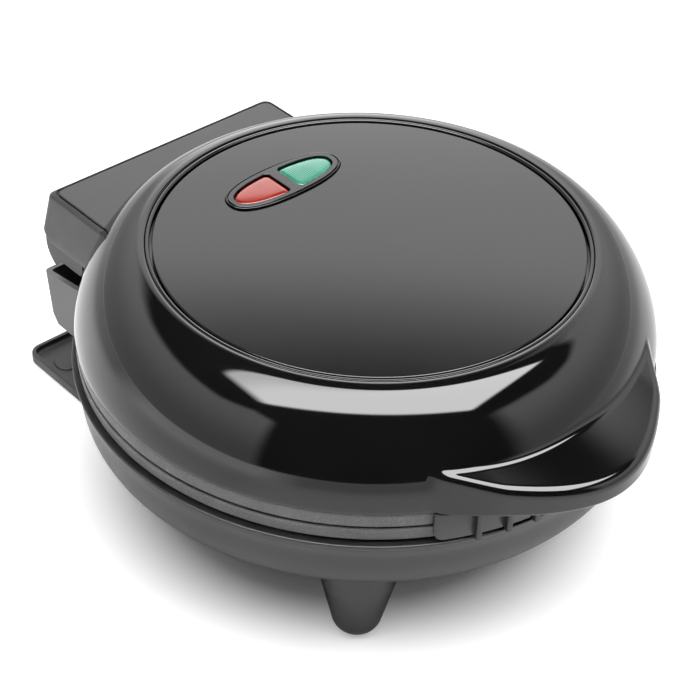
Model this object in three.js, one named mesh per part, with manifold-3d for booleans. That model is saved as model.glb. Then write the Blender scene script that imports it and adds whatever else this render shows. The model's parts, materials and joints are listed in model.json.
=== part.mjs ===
// A round omelette maker: a base with two half-moon pockets under a hinged lid with a crescent handle.
// Millimetres, +Z up. Each piece is modelled about the axis of the round plates, with the floor at zero.
// The whole group then moves so that its origin is the bottom centre of the part's box.
import * as THREE from "three";
import { mergeVertices } from "three/addons/utils/BufferGeometryUtils.js";
import Module from "manifold-3d";

const wasm = await Module();
wasm.setup();

// Counts of facets
const roundSteps = 56;
const pocketSteps = 40;
const arcSteps = 12;
const domeSteps = 8;
const bowlSteps = 6;
const handleStations = 20;
const scoopSteps = 5;
const wireSides = 6;
const wireSteps = 9;
const elementSides = 8;
const elementSteps = 36;
const smallSides = 12;
const footSides = 20;
const reflectorSteps = 36;

// Clearances and overruns
const seatGap = 0.3;
const looseGap = 0.35;
const pinGap = 0.3;
const overrun = 1;

// Lid shell: a ring-shaped dome round the panel
const lidRimRadius = 98.4;
const lidShoulder = 22.4;
const lidDomePower = 1.6;
const lidWall = 2.5;
const crownEdge = 3.6;
const panelGroove = 0.8;
const panelThickness = 3;
const panelBelowCrown = 0.4;
const ledgeWidth = 6;
const ledgeThickness = 4.4;
const screwEarWall = 2.8;

// Stack from the floor upwards: bowl, lower plate, upper plate
const bowlClearance = 30.9;
const elementRoom = 13.4;
const baseToPlateGap = 0.9;
const lowerRimHeight = 4.6;
const plateMeetGap = 0.6;
const upperRimHeight = 5.5;
const lampRoom = 9.5;

// Cooking plates
const lowerPlateInset = 0.3;
const upperPlateInset = 0.5;
const plateRimWidth = 18.1;
const pocketHalfDivider = 5;
const pocketCorner = 9;
const pocketDraft = 6;
const pocketDraftShares = [0, 1 / 3, 2 / 3, 1];
const pocketDepthShares = [0, 2 / 3, 0.9, 1];
const lowerPocketDepth = 12.4;
const upperPocketDepth = 12.2;
const plateWall = 3;
const platePostRadius = 4;
const platePostFromElement = 10;
const platePostAngles = [30, 150, 270];

// Base bowl
const bowlWallInset = 0.4;
const bowlLip = 1.9;
const bowlCurveReach = 35;
const bowlRimHeight = 2.9;
const bowlFlare = 0.8;
const bowlPower = 4;
const bowlWall = 2.5;

// Front feet
const footFromWall = 19;
const footAngle = 43;
const footTopRadius = 12.5;
const footBottomRadius = 8.3;
const footRounding = 5;
const footScrewRadius = 2;
const footScrewHeadRadius = 4;
const footScrewHeadHeight = 2;
const footScrewLength = 16;

// Hinge axis, and how far the lid knuckles reach from it
const hingeStandOff = 8.6;
const hingeRise = 1.3;
const hingePinRadius = 2.5;
const hingePinHead = 1;
const knuckleRadius = 10.6;
const knuckleWall = 2.4;
const knuckleStartDegrees = -60;
const knuckleEndDegrees = 25;
const knuckleHubRadius = 5.6;
const outerKnuckleLength = 8.3;
const innerKnuckleLength = 5.6;
const cheekInset = 1.3;
const cheekReach = 1;
const earThickness = 5;
const earGap = 0.5;
const earRadius = 5.5;
const earDepth = 6.5;
const earFromAxis = 1;

// Lid hinge cover: the box behind the lid, with its heights and depths from the hinge axis
const coverHalfWidth = 51.2;
const coverTopRise = 23.5;
const coverTopReach = 5.9;
const coverRearReach = 11;
const coverRearRise = 5.3;
const coverSideDraft = 0.5;
const coverBottomRise = 1.7;
const coverBottomInset = 2.7;
const coverCorner = 3;
const coverChamfer = 1.6;
const coverWall = 2.4;
const coverDepth = 47;

// Base hinge housing: the open trough behind the bowl
const housingProud = 1.3;
const housingBelowBowl = 6.9;
const housingHeel = 3.6;
const housingRearDrop = 11.5;
const housingFrontDrop = 7.3;
const housingBottomReach = 4.5;
const housingHeelReach = 7.4;
const housingRearReach = 10;
const housingFrontInset = 2.7;
const housingCorner = 2.4;
const housingWall = 2;
const housingFloor = 2.6;

// Cord wrap plate: the rear foot, with a spool core between it and the housing
const wrapProud = 5;
const wrapFrontReach = 35;
const wrapRearReach = 18.5;
const wrapCorner = 5;
const wrapThickness = 2;
const wrapRimHeight = 2.2;
const wrapRimWidth = 1.6;
const coreHalfWidth = 34;
const coreFrontReach = 20;
const coreRearReach = 0.5;
const coreCorner = 6;
const coreWall = 2.2;
const wrapScrewX = 26;
const wrapScrewReach = 10;
const wrapBossRadius = 4;
const padRadius = 6;
const padHeight = 2;
const padProud = 0.8;
const padSideInset = 9.5;
const padRearInset = 13.5;
const padSocketWall = 1.4;

// Crescent handle on the front of the lid shell, with its heights from the lid rim
const handleReach = 17.4;
const handleBow = 57.9;
const handleFlankShare = 1.312;
const handleHalfWidth = 50.5;
const handleTipDraft = 3.8;
const handleCavityInset = 13.2;
const handleRimFrontRise = 5.8;
const handleRimTipRise = 12.6;
const handleRimPower = 2.3;
const handleRimWidth = 2.4;
const handleRimCrest = 2.2;
const handleFootShare = 0.75;
const handleJointFrontRise = 13.4;
const handleJointTipRise = 16;
const handleWall = 2.2;
const handleDraft = 0.5;
const scoopSag = 1.6;

// Ribbed skirt under the handle
const skirtThickness = 1.3;
const skirtHalfDegrees = 30.6;
const skirtTopHalfDegrees = 19;
const skirtTongue = 3.8;
const skirtRibCount = 9;
const skirtRibPitch = 9.7;
const skirtRibWidth = 1.8;
const skirtRibDepth = 2.2;
const skirtRibDrop = 0.5;
const skirtCorner = 3.4;

// Indicator lights on the panel
const bezelFromEdge = 27.9;
const bezelHalfLength = 23.7;
const bezelHalfWidth = 9.25;
const bezelPower = 2.4;
const bezelFlange = 1.6;
const bezelProud = 0.9;
const bezelDepth = 6;
const bezelWall = 1.1;
const lensDivider = 1.8;
const lensRise = 0.4;
const lensDepth = 4;
const lampRadius = 2.6;
const lampLength = 13;
const lampX = 11;
const holderHalfLength = 22;
const holderHalfWidth = 9;
const holderThickness = 1.6;
const holderPostRadius = 2.2;
const holderPostX = 19;
const holderPostY = 6.6;

// Tubular heating elements and their reflectors
const elementInset = 28;
const elementTubeRadius = 3.3;
const elementOpenDegrees = 34;
const elementTailLength = 12;
const reflectorInnerReach = 8;
const reflectorOuterReach = 4.5;
const reflectorThickness = 0.8;
const reflectorLip = 1.5;

// Control parts inside the base
const thermostatRadius = 8;
const thermostatHeight = 6;
const thermostatX = -25;
const thermostatTagLength = 7;
const thermostatTagWidth = 4.8;
const thermostatTagHeight = 0.8;
const fuseRadius = 2.2;
const fuseLength = 18;
const fuseX = 24;
const terminalHalfLength = 13;
const terminalWidth = 11;
const terminalHeight = 7;
const terminalFromElement = 22;
const terminalWayCount = 3;
const terminalWayRadius = 1.9;
const terminalWayFloor = 1;
const leadRadius = 1.3;
const leadSpacing = 3.4;

// Leads that cross the hinge inside sleeves, and their windows in the two shells
const sleeveRadius = 2.5;
const sleeveX = 12;
const sleeveAxisLength = 8;
const windowHalfWidth = 4.6;
const windowHeight = 9;
const lowerWindowDrop = 15.7;
const upperWindowRise = 1.2;

// Cord inlet bush in the rear wall of the housing
const inletRise = 10;
const inletRadius = 5.4;
const inletFlangeRadius = 7.4;
const inletFlange = 1.6;
const inletBoreRadius = 3.6;
const inletNeckLength = 5;

// Screws
const screwRadius = 1.7;
const screwHeadRadius = 3.4;
const screwHeadHeight = 2;
const screwLength = 11;
const plateScrewLength = 10;
const screwSlot = 0.8;
const coverScrewX = 20;
const coverScrewDrop = 6.5;
const coverScrewLength = 9;

// Radii and widths that follow from the sizes above
const lidCrownRadius = lidRimRadius - lidShoulder;
const panelRadius = lidCrownRadius - crownEdge - panelGroove;
const ledgeInnerRadius = panelRadius + panelGroove - ledgeWidth;
const lowerPlateRadius = lidRimRadius - lowerPlateInset;
const upperPlateRadius = lidRimRadius - upperPlateInset;
const pocketRadius = lowerPlateRadius - plateRimWidth;
const bowlWallRadius = lidRimRadius - bowlWallInset;
const bowlRimRadius = bowlWallRadius + bowlLip;
const bowlFlatRadius = bowlWallRadius - bowlCurveReach;
const footCircle = bowlWallRadius - footFromWall;
const elementRadius = pocketRadius - elementInset;
const platePostCircle = elementRadius + platePostFromElement;
const screwBoreRadius = screwRadius + pinGap;
const screwEarRadius = screwHeadRadius + pinGap + screwEarWall;
const skirtInnerRadius = lidRimRadius + looseGap;
const housingHalfWidth = coverHalfWidth + housingProud;
const wrapHalfWidth = housingHalfWidth + wrapProud;
const padX = wrapHalfWidth - padSideInset;
const outerKnuckleHalfWidth = coverHalfWidth - cheekInset;
const outerKnuckleX = outerKnuckleHalfWidth - outerKnuckleLength;
const earX = outerKnuckleX - earGap - earThickness;
const innerKnuckleX = earX - earGap - innerKnuckleLength;

// Heights that follow from the sizes above
const bowlBottomZ = bowlClearance;
const bowlFloorZ = bowlBottomZ + bowlWall;
const lowerTubBottomZ = bowlFloorZ + elementRoom;
const lowerPlateTopZ = lowerTubBottomZ + plateWall + lowerPocketDepth;
const lowerPlateZ = lowerPlateTopZ - lowerRimHeight;
const baseRimZ = lowerPlateZ - baseToPlateGap;
const upperPlateZ = lowerPlateTopZ + plateMeetGap;
const upperPlateTopZ = upperPlateZ + upperRimHeight;
const upperTubTopZ = upperPlateZ + upperPocketDepth + plateWall;
const elementStack = (elementTubeRadius + seatGap) * 2 + reflectorThickness + reflectorLip;
const panelBottomZ = upperTubTopZ + elementStack + lampRoom;
const panelTopZ = panelBottomZ + panelThickness;
const lidRimZ = upperPlateTopZ + seatGap;
const lidCrownZ = panelTopZ + panelBelowCrown;
const lidDomeHeight = lidCrownZ - lidRimZ;
const ledgeTopZ = panelBottomZ - seatGap;
const hingeZ = baseRimZ + hingeRise;
const coverTopZ = hingeZ + coverTopRise;
const coverRearZ = hingeZ + coverRearRise;
const coverBottomZ = hingeZ + coverBottomRise;
const coverScrewZ = coverTopZ - coverScrewDrop;
const housingBottomZ = bowlBottomZ - housingBelowBowl;
const housingHeelZ = housingBottomZ + housingHeel;
const housingRearTopZ = baseRimZ - housingRearDrop;
const housingFrontTopZ = baseRimZ - housingFrontDrop;
const inletZ = housingBottomZ + inletRise;
const footWaistZ = housingBottomZ;
const wrapFloorZ = padProud;
const wrapTopZ = wrapFloorZ + wrapThickness;
const coreTopZ = housingBottomZ - seatGap;
const skirtBottomZ = lowerPlateZ + seatGap;
const skirtTopZ = lidRimZ + skirtTongue;
const lowerWindowZ = baseRimZ - lowerWindowDrop;
const upperWindowZ = lidRimZ + upperWindowRise;
const handleJointFrontZ = lidRimZ + handleJointFrontRise;
const handleJointTipZ = lidRimZ + handleJointTipRise;

// Where a circle about the axis of the plates lies at a distance across
const alongCircle = (radius, across) => Math.sqrt(radius ** 2 - across ** 2);

// Places along Y that follow from the hinge axis
const hingeY = lidRimRadius + hingeStandOff;
const coverTopRearY = hingeY + coverTopReach;
const coverRearY = hingeY + coverRearReach;
const coverFrontY = hingeY - coverDepth;
const housingFrontY = alongCircle(bowlWallRadius, housingHalfWidth) + housingFrontInset;
const housingRearBottomY = hingeY + housingBottomReach;
const housingHeelY = hingeY + housingHeelReach;
const housingRearY = hingeY + housingRearReach;
const wrapFrontY = hingeY - wrapFrontReach;
const wrapRearY = hingeY + wrapRearReach;
const wrapScrewY = hingeY - wrapScrewReach;
const coreFrontY = hingeY - coreFrontReach;
const coreRearY = hingeY + coreRearReach;
const padY = wrapRearY - padRearInset;
const bezelY = panelRadius - bezelFromEdge;
const terminalY = elementRadius + terminalFromElement;

const degrees = (angle) => (angle * Math.PI) / 180;

// Closed meshes become solids for joins and cuts. A mesh that faces inwards is turned round.
function solid(geometry) {
  const plain = geometry.index ? geometry.toNonIndexed() : geometry.clone();
  plain.deleteAttribute("normal");
  plain.deleteAttribute("uv");
  const merged = mergeVertices(plain, 1e-4);
  const triVerts = new Uint32Array(merged.index.array);
  const vertProperties = new Float32Array(merged.attributes.position.array);
  const made = new wasm.Manifold(new wasm.Mesh({ numProp: 3, vertProperties, triVerts }));
  if (made.volume() > 0) return made;
  const turned = triVerts.slice();
  for (let i = 0; i < turned.length; i += 3) {
    turned[i + 1] = triVerts[i + 2];
    turned[i + 2] = triVerts[i + 1];
  }
  return new wasm.Manifold(new wasm.Mesh({ numProp: 3, vertProperties, triVerts: turned }));
}

function join(first, ...others) {
  return others.reduce((whole, next) => whole.add(next), first);
}

function cut(first, ...others) {
  return others.reduce((whole, next) => whole.subtract(next), first);
}

function geometryOf(made) {
  const mesh = made.getMesh();
  const geometry = new THREE.BufferGeometry();
  geometry.setAttribute("position", new THREE.BufferAttribute(mesh.vertProperties, 3));
  geometry.setIndex(new THREE.BufferAttribute(mesh.triVerts, 1));
  geometry.computeVertexNormals();
  return geometry;
}

// A profile of [radius, height] pairs, revolved about the vertical axis.
function revolve(profile, steps = roundSteps) {
  const points = profile.map(([radius, height]) => new THREE.Vector2(radius, height));
  return solid(new THREE.LatheGeometry(points, steps).rotateX(Math.PI / 2));
}

function disc(radius, bottom, top, steps = roundSteps) {
  return revolve([[0, bottom], [radius, bottom], [radius, top], [0, top]], steps);
}

function annulus(inner, outer, bottom, top, steps = roundSteps) {
  return revolve([[inner, bottom], [outer, bottom], [outer, top], [inner, top], [inner, bottom]], steps);
}

function post(x, y, radius, bottom, top, steps = smallSides) {
  return disc(radius, bottom, top, steps).translate([x, y, 0]);
}

// A bar with a round section along X.
function barX(radius, from, to, y, z, steps = smallSides) {
  const shape = new THREE.CylinderGeometry(radius, radius, to - from, steps).rotateZ(Math.PI / 2);
  return solid(shape.translate((from + to) / 2, y, z));
}

function block(x0, x1, y0, y1, z0, z1) {
  const shape = new THREE.BoxGeometry(x1 - x0, y1 - y0, z1 - z0);
  return solid(shape.translate((x0 + x1) / 2, (y0 + y1) / 2, (z0 + z1) / 2));
}

// Joins sections of the same number of points into one closed body. Caps lie in the plane of two axes.
function loft(sections, across, up) {
  const count = sections[0].length;
  const points = sections.flat();
  const faces = [];
  for (let s = 0; s + 1 < sections.length; s += 1) {
    for (let i = 0; i < count; i += 1) {
      const a = s * count + i;
      const b = s * count + ((i + 1) % count);
      faces.push(a, b, b + count, a, b + count, a + count);
    }
  }
  const last = (sections.length - 1) * count;
  const addCap = (section, first, start) => {
    const flat = section.map((point) => new THREE.Vector2(point[across], point[up]));
    const turned = THREE.ShapeUtils.isClockWise(flat) !== start;
    for (const [a, b, c] of THREE.ShapeUtils.triangulateShape(flat, [])) {
      faces.push(first + a, first + (turned ? c : b), first + (turned ? b : c));
    }
  };
  addCap(sections[0], 0, true);
  addCap(sections.at(-1), last, false);
  const geometry = new THREE.BufferGeometry().setFromPoints(points);
  geometry.setIndex(faces);
  return solid(geometry);
}

// An outline in the YZ plane of [y, z] pairs, drawn out along X.
function slabX(outline, from, to) {
  const section = (x) => outline.map(([y, z]) => new THREE.Vector3(x, y, z));
  return loft([section(from), section(to)], "y", "z");
}

// A rounded rectangle at one height, counted round from the rear right corner.
function roundedSection(halfWidth, front, rear, corner, z) {
  const middles = [
    [halfWidth - corner, rear - corner, 0],
    [corner - halfWidth, rear - corner, 90],
    [corner - halfWidth, front + corner, 180],
    [halfWidth - corner, front + corner, 270],
  ];
  const section = [];
  for (const [x, y, start] of middles) {
    for (let i = 0; i <= arcSteps / 3; i += 1) {
      const turn = degrees(start + (90 * i) / (arcSteps / 3));
      section.push(new THREE.Vector3(x + corner * Math.cos(turn), y + corner * Math.sin(turn), z));
    }
  }
  return section;
}

function tube(points, radius, sides = wireSides, steps = wireSteps) {
  const shape = new THREE.Shape();
  for (let i = 0; i < sides; i += 1) {
    const turn = (2 * Math.PI * i) / sides;
    const [x, y] = [radius * Math.cos(turn), radius * Math.sin(turn)];
    if (i === 0) shape.moveTo(x, y);
    else shape.lineTo(x, y);
  }
  shape.closePath();
  const route = points.map(([x, y, z]) => new THREE.Vector3(x, y, z));
  const extrudePath = new THREE.CatmullRomCurve3(route, false, "centripetal");
  return solid(new THREE.ExtrudeGeometry(shape, { steps, extrudePath, curveSegments: 1 }));
}

// A bar with a round section along Y.
function barY(radius, from, to, x, z, steps = smallSides) {
  const shape = new THREE.CylinderGeometry(radius, radius, to - from, steps);
  return solid(shape.translate(x, (from + to) / 2, z));
}

// A slotted screw with its shank along +Z from the face of its head, at the origin.
function screw(length) {
  const head = disc(screwHeadRadius, -screwHeadHeight, 0, smallSides);
  const shank = disc(screwRadius, -screwHeadHeight / 2, length, smallSides);
  const slotEnd = screwHeadRadius + overrun;
  const slotBottom = -screwHeadHeight / 2;
  const slotTop = -screwHeadHeight - overrun;
  const slot = block(-slotEnd, slotEnd, -screwSlot / 2, screwSlot / 2, slotTop, slotBottom);
  return cut(join(head, shank), slot);
}

// Part of a superellipse as [radius, height] pairs, from one share of its quarter turn to another.
function superArc(middle, level, reach, rise, power, from, to, steps) {
  const pairs = [];
  for (let i = 0; i <= steps; i += 1) {
    const turn = ((from + ((to - from) * i) / steps) * Math.PI) / 2;
    const radius = middle + reach * Math.cos(turn) ** (2 / power);
    pairs.push([radius, level + rise * Math.abs(Math.sin(turn)) ** (2 / power)]);
  }
  return pairs;
}

// Share of the quarter turn at which a superellipse reaches a share of its rise.
const turnShare = (riseShare, power) => (2 * Math.asin(riseShare ** (power / 2))) / Math.PI;

// Lid shell profiles: the dome grown or shrunk by an offset
const domeReach = lidRimRadius - lidCrownRadius;
const ledgeBottomZ = ledgeTopZ - ledgeThickness;

function domeArc(offset, to = 1) {
  const reach = domeReach + offset;
  const rise = lidDomeHeight + offset;
  return superArc(lidCrownRadius, lidRimZ, reach, rise, lidDomePower, 0, to, domeSteps);
}

function domeRadius(z) {
  const share = Math.max(0, (z - lidRimZ) / lidDomeHeight);
  return lidCrownRadius + domeReach * (1 - share ** lidDomePower) ** (1 / lidDomePower);
}

const innerDomeEnd = turnShare((ledgeBottomZ - lidRimZ) / (lidDomeHeight - lidWall), lidDomePower);

function makeRing() {
  const outer = domeArc(0);
  const inner = domeArc(-lidWall, innerDomeEnd);
  const rebate = panelRadius + panelGroove;
  const ledge = [
    [rebate, lidCrownZ],
    [rebate, ledgeTopZ],
    [ledgeInnerRadius, ledgeTopZ],
    [ledgeInnerRadius, ledgeBottomZ],
  ];
  return revolve([...outer, ...ledge, ...inner.reverse(), outer[0]]);
}

// The space inside the ring, for trimming the handle.
const ringInside = revolve([
  [0, lidRimZ - overrun],
  [lidRimRadius - lidWall, lidRimZ - overrun],
  ...domeArc(-lidWall, innerDomeEnd),
  [0, ledgeBottomZ],
]);

// All that lies within the ring and the plates, grown by the loose gap, for trimming what sits behind.
const ringOffset = revolve([
  [0, bowlBottomZ],
  [lidRimRadius + looseGap, bowlBottomZ],
  ...domeArc(looseGap),
  [0, lidCrownZ + looseGap],
]);

// Crescent handle: stations across it, from tip to tip
const handleFront = lidRimRadius + handleReach;
const handleOuterY = (x) => Math.hypot(handleBow, handleFlankShare * x) - handleBow - handleFront;
const tipJointRadius = domeRadius(handleJointTipZ);
const handleInnerY = lidWall - alongCircle(tipJointRadius, handleHalfWidth);

function handleSection(x, inset) {
  const tipShare = (Math.abs(x) / handleHalfWidth) ** 2;
  const outerY = inset + handleOuterY(x);
  const lean = handleTipDraft * tipShare;
  const rimGain = (handleRimTipRise - handleRimFrontRise) * tipShare ** handleRimPower;
  const rimZ = lidRimZ + handleRimFrontRise + rimGain;
  const jointZ = handleJointFrontZ + (handleJointTipZ - handleJointFrontZ) * tipShare;
  const jointY = -alongCircle(domeRadius(jointZ), x);
  const width = jointY - outerY - lean;
  const rim = Math.min(handleRimWidth, width / 3);
  const fullWidth = handleFront - domeRadius(handleJointFrontZ);
  const sag = (scoopSag * width) / fullWidth;
  const footY = outerY + lean + rim;
  const crest = (handleRimCrest * rim) / handleRimWidth;
  const footZ = rimZ + crest * handleFootShare;
  const bottom = inset ? lidRimZ - overrun : lidRimZ;
  const section = [[handleInnerY, bottom], [outerY, bottom]];
  if (!inset) {
    const rimShare = rim / handleRimWidth;
    section.push([outerY + lean + handleDraft * rimShare, rimZ]);
    section.push([outerY + lean + rim / 2, rimZ + crest]);
  }
  for (let i = 0; i <= scoopSteps; i += 1) {
    const share = i / scoopSteps;
    const y = footY + (jointY - footY) * share;
    const z = footZ + (jointZ - footZ) * share - sag * 4 * share * (1 - share);
    section.push([y, z - inset]);
  }
  section.push([handleInnerY, jointZ - inset]);
  return section.map(([y, z]) => new THREE.Vector3(x, y, z));
}

function handleSolid(reach, inset) {
  const sections = [];
  for (let i = 0; i <= handleStations; i += 1) {
    const x = -reach * Math.cos((Math.PI * i) / handleStations);
    sections.push(handleSection(x, inset));
  }
  return loft(sections, "y", "z");
}

const handleCavityX = handleHalfWidth - handleCavityInset;

function lidWindow() {
  const left = sleeveX - windowHalfWidth;
  const right = sleeveX + windowHalfWidth;
  const front = lidCrownRadius;
  return block(left, right, front, hingeY, upperWindowZ, upperWindowZ + windowHeight);
}

function coverScrewBore(side) {
  return barY(screwBoreRadius, lidCrownRadius, hingeY + screwRadius, side * coverScrewX, coverScrewZ);
}

const ringInnerAtScrew = domeRadius(coverScrewZ + screwHeadRadius) - lidWall;
const coverScrewSeatY = alongCircle(ringInnerAtScrew, coverScrewX + screwHeadRadius) - seatGap;

// Points on the circle of the plate posts
const postPlaces = platePostAngles.map((angle) => [
  platePostCircle * Math.cos(degrees(angle)),
  platePostCircle * Math.sin(degrees(angle)),
]);

const screwEarThickness = ledgeThickness - screwHeadHeight - seatGap;

function makeLidShell() {
  const handle = cut(handleSolid(handleHalfWidth, 0), handleSolid(handleCavityX, handleWall), ringInside);
  let shell = join(makeRing(), handle);
  for (const [x, y] of postPlaces) {
    shell = join(shell, post(x, y, screwEarRadius, ledgeBottomZ, ledgeBottomZ + screwEarThickness));
    shell = cut(shell, post(x, y, screwBoreRadius, ledgeBottomZ - overrun, ledgeTopZ));
    shell = cut(shell, post(x, y, screwHeadRadius + pinGap, ledgeBottomZ + screwEarThickness, lidCrownZ));
  }
  return cut(shell, lidWindow(), coverScrewBore(-1), coverScrewBore(1));
}

// Indicator bezel and lenses: outlines are superellipses drawn in by an inset
function ovalSection(inset, z) {
  const section = [];
  for (let i = 0; i < pocketSteps; i += 1) {
    const turn = (2 * Math.PI * i) / pocketSteps;
    const [c, s] = [Math.cos(turn), Math.sin(turn)];
    const x = (bezelHalfLength - inset) * Math.sign(c) * Math.abs(c) ** (2 / bezelPower);
    const y = (bezelHalfWidth - inset) * Math.sign(s) * Math.abs(s) ** (2 / bezelPower);
    section.push(new THREE.Vector3(x, bezelY + y, z));
  }
  return section;
}

function ovalBlock(inset, bottom, top, topInset = inset) {
  return loft([ovalSection(inset, bottom), ovalSection(topInset, top)], "x", "y");
}

const bezelLap = bezelFlange / 2;
const lensInset = bezelLap + bezelWall + looseGap;
const bezelTopZ = panelTopZ + bezelProud;
const bezelBottomZ = panelTopZ - bezelDepth;
const lensTopZ = bezelTopZ - lensRise;

function makePanel() {
  const plate = disc(panelRadius, panelBottomZ, panelTopZ);
  return cut(plate, ovalBlock(bezelLap - seatGap, panelBottomZ - overrun, panelTopZ + overrun));
}

function makeBezel() {
  const flange = ovalBlock(0, panelTopZ + seatGap, bezelTopZ, bezelLap / 2);
  const sleeve = ovalBlock(bezelLap, bezelBottomZ, bezelTopZ - overrun / 2);
  const opening = ovalBlock(bezelLap + bezelWall, bezelBottomZ - overrun, bezelTopZ + overrun);
  const bar = lensDivider / 2;
  const [front, rear] = [bezelY - bezelHalfWidth, bezelY + bezelHalfWidth];
  const divider = block(-bar, bar, front, rear, bezelBottomZ, lensTopZ);
  return join(cut(join(flange, sleeve), opening), divider.intersect(sleeve));
}

function makeLens(side) {
  const body = ovalBlock(lensInset, bezelTopZ - lensDepth, lensTopZ - lensRise);
  const crown = ovalBlock(lensInset, lensTopZ - lensRise * 2, lensTopZ, lensInset + lensRise * 2);
  const edge = side * (lensDivider / 2 + looseGap);
  const far = side * bezelHalfLength;
  const low = bezelY - bezelHalfWidth;
  const high = bezelY + bezelHalfWidth;
  const [left, right] = [Math.min(edge, far), Math.max(edge, far)];
  const half = block(left, right, low, high, bezelBottomZ, bezelTopZ + overrun);
  return join(body, crown).intersect(half);
}

const holderBottomZ = panelBottomZ - lampRoom + seatGap;
const holderTopZ = holderBottomZ + holderThickness;

function makeLamp(side) {
  const z = holderTopZ + seatGap + lampRadius;
  const middle = side * lampX;
  const glass = barX(lampRadius, middle - lampLength / 2, middle + lampLength / 2, bezelY, z);
  const tip = new THREE.SphereGeometry(lampRadius, smallSides, arcSteps / 2);
  return join(glass, solid(tip.translate(middle - (side * lampLength) / 2, bezelY, z)));
}

function makeLampHolder() {
  const [left, right] = [-holderHalfLength, holderHalfLength];
  const [front, rear] = [bezelY - holderHalfWidth, bezelY + holderHalfWidth];
  let holder = block(left, right, front, rear, holderBottomZ, holderTopZ);
  for (const x of [-holderPostX, holderPostX]) {
    for (const y of [bezelY - holderPostY, bezelY + holderPostY]) {
      holder = join(holder, post(x, y, holderPostRadius, holderTopZ - overrun, bezelBottomZ - seatGap));
    }
  }
  return holder;
}

// Cooking plates: the outline of one half-moon pocket, drawn in by an inset, side -1 left or 1 right
function pocketSection(side, inset, z) {
  const corner = pocketCorner;
  const radius = pocketRadius - inset;
  const flat = pocketHalfDivider + inset;
  const reach = radius - corner;
  const top = Math.sqrt(reach ** 2 - (flat + corner) ** 2);
  const lean = Math.atan2(top, flat + corner);
  const section = [];
  const add = (x, y) => section.push(new THREE.Vector3(side * x, y, z));
  const arc = (x, y, size, from, to, steps) => {
    for (let i = 0; i <= steps; i += 1) {
      const turn = from + ((to - from) * i) / steps;
      add(x + size * Math.cos(turn), y + size * Math.sin(turn));
    }
  };
  const cornerSteps = arcSteps / 2;
  arc(0, 0, radius, -lean, lean, pocketSteps - cornerSteps * 4);
  arc(flat + corner, top, corner, lean + (Math.PI - lean) / cornerSteps, Math.PI, cornerSteps - 1);
  const lastTurn = 2 * Math.PI - lean - (Math.PI - lean) / cornerSteps;
  arc(flat + corner, -top, corner, Math.PI, lastTurn, cornerSteps - 1);
  return side > 0 ? section : section.reverse();
}

// A pocket-shaped body whose section draws in towards its floor, with a rounded edge there.
function pocketBody(side, grow, mouthZ, floorZ) {
  const depth = floorZ - mouthZ;
  const sections = pocketDepthShares.map((share, i) => {
    const inset = pocketDraft * pocketDraftShares[i] - grow;
    return pocketSection(side, inset, mouthZ + depth * share);
  });
  return loft(sections, "x", "y");
}

function makePlate(radius, faceZ, backZ, pocketDepth) {
  const away = Math.sign(backZ - faceZ);
  const floorZ = faceZ + away * pocketDepth;
  const tubZ = floorZ + away * plateWall;
  const seatZ = away > 0 ? ledgeBottomZ - seatGap : bowlFloorZ + seatGap;
  const [low, high] = [Math.min(faceZ, backZ), Math.max(faceZ, backZ)];
  let plate = disc(radius, low, high);
  for (const side of [-1, 1]) {
    plate = join(plate, pocketBody(side, plateWall, faceZ + away * overrun, tubZ));
  }
  for (const [x, y] of postPlaces) {
    const [start, end] = [(faceZ + backZ) / 2, seatZ];
    plate = join(plate, post(x, y, platePostRadius, Math.min(start, end), Math.max(start, end)));
    const boreEnd = seatZ - away * screwLength;
    const mouth = seatZ + away * overrun;
    plate = cut(plate, post(x, y, screwBoreRadius, Math.min(boreEnd, mouth), Math.max(boreEnd, mouth)));
  }
  for (const side of [-1, 1]) plate = cut(plate, pocketBody(side, 0, faceZ, floorZ));
  return plate;
}

// Base bowl: an offset grows its outer face
function bowlArc(offset) {
  const level = baseRimZ - bowlRimHeight;
  const reach = bowlCurveReach + offset;
  const rise = bowlBottomZ - level - offset;
  return superArc(bowlFlatRadius, level, reach, rise, bowlPower, 0, 1, bowlSteps);
}

function bowlOuter(offset) {
  const rim = [
    [0, baseRimZ + offset],
    [bowlRimRadius - bowlRimHeight / 6 + offset, baseRimZ + offset],
    [bowlRimRadius + offset, baseRimZ - bowlRimHeight / 6],
    [bowlWallRadius + bowlFlare + offset, baseRimZ - bowlRimHeight / 2],
  ];
  return revolve([...rim, ...bowlArc(offset), [0, bowlBottomZ - offset]]);
}

function bowlInnerRadius(z) {
  const level = baseRimZ - bowlRimHeight;
  const share = (level - z) / (level - bowlFloorZ);
  const reach = bowlCurveReach - bowlWall;
  return bowlFlatRadius + reach * (1 - share ** bowlPower) ** (1 / bowlPower);
}

const lowerWindow = () => {
  const left = -sleeveX - windowHalfWidth;
  return block(left, windowHalfWidth, lidCrownRadius, hingeY, lowerWindowZ, lowerWindowZ + windowHeight);
};

const footPlaces = [-1, 1].map((side) => [
  side * footCircle * Math.sin(degrees(footAngle)),
  -footCircle * Math.cos(degrees(footAngle)),
]);
const footScrewSeatZ = bowlFloorZ + seatGap * 3;

function makeBaseShell() {
  const inside = revolve([[0, baseRimZ + overrun], [bowlWallRadius - bowlWall, baseRimZ + overrun],
    ...bowlArc(-bowlWall), [0, bowlFloorZ]]);
  let shell = cut(bowlOuter(0), inside, lowerWindow());
  for (const [x, y] of postPlaces) {
    shell = cut(shell, post(x, y, screwBoreRadius, bowlBottomZ - overrun, bowlFloorZ + overrun));
  }
  for (const [x, y] of footPlaces) {
    const bore = post(x, y, footScrewRadius + pinGap, bowlBottomZ - overrun, footScrewSeatZ + overrun);
    shell = cut(shell, bore);
  }
  for (const side of [-1, 1]) shell = cut(shell, housingScrewBore(side));
  return shell;
}

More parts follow.
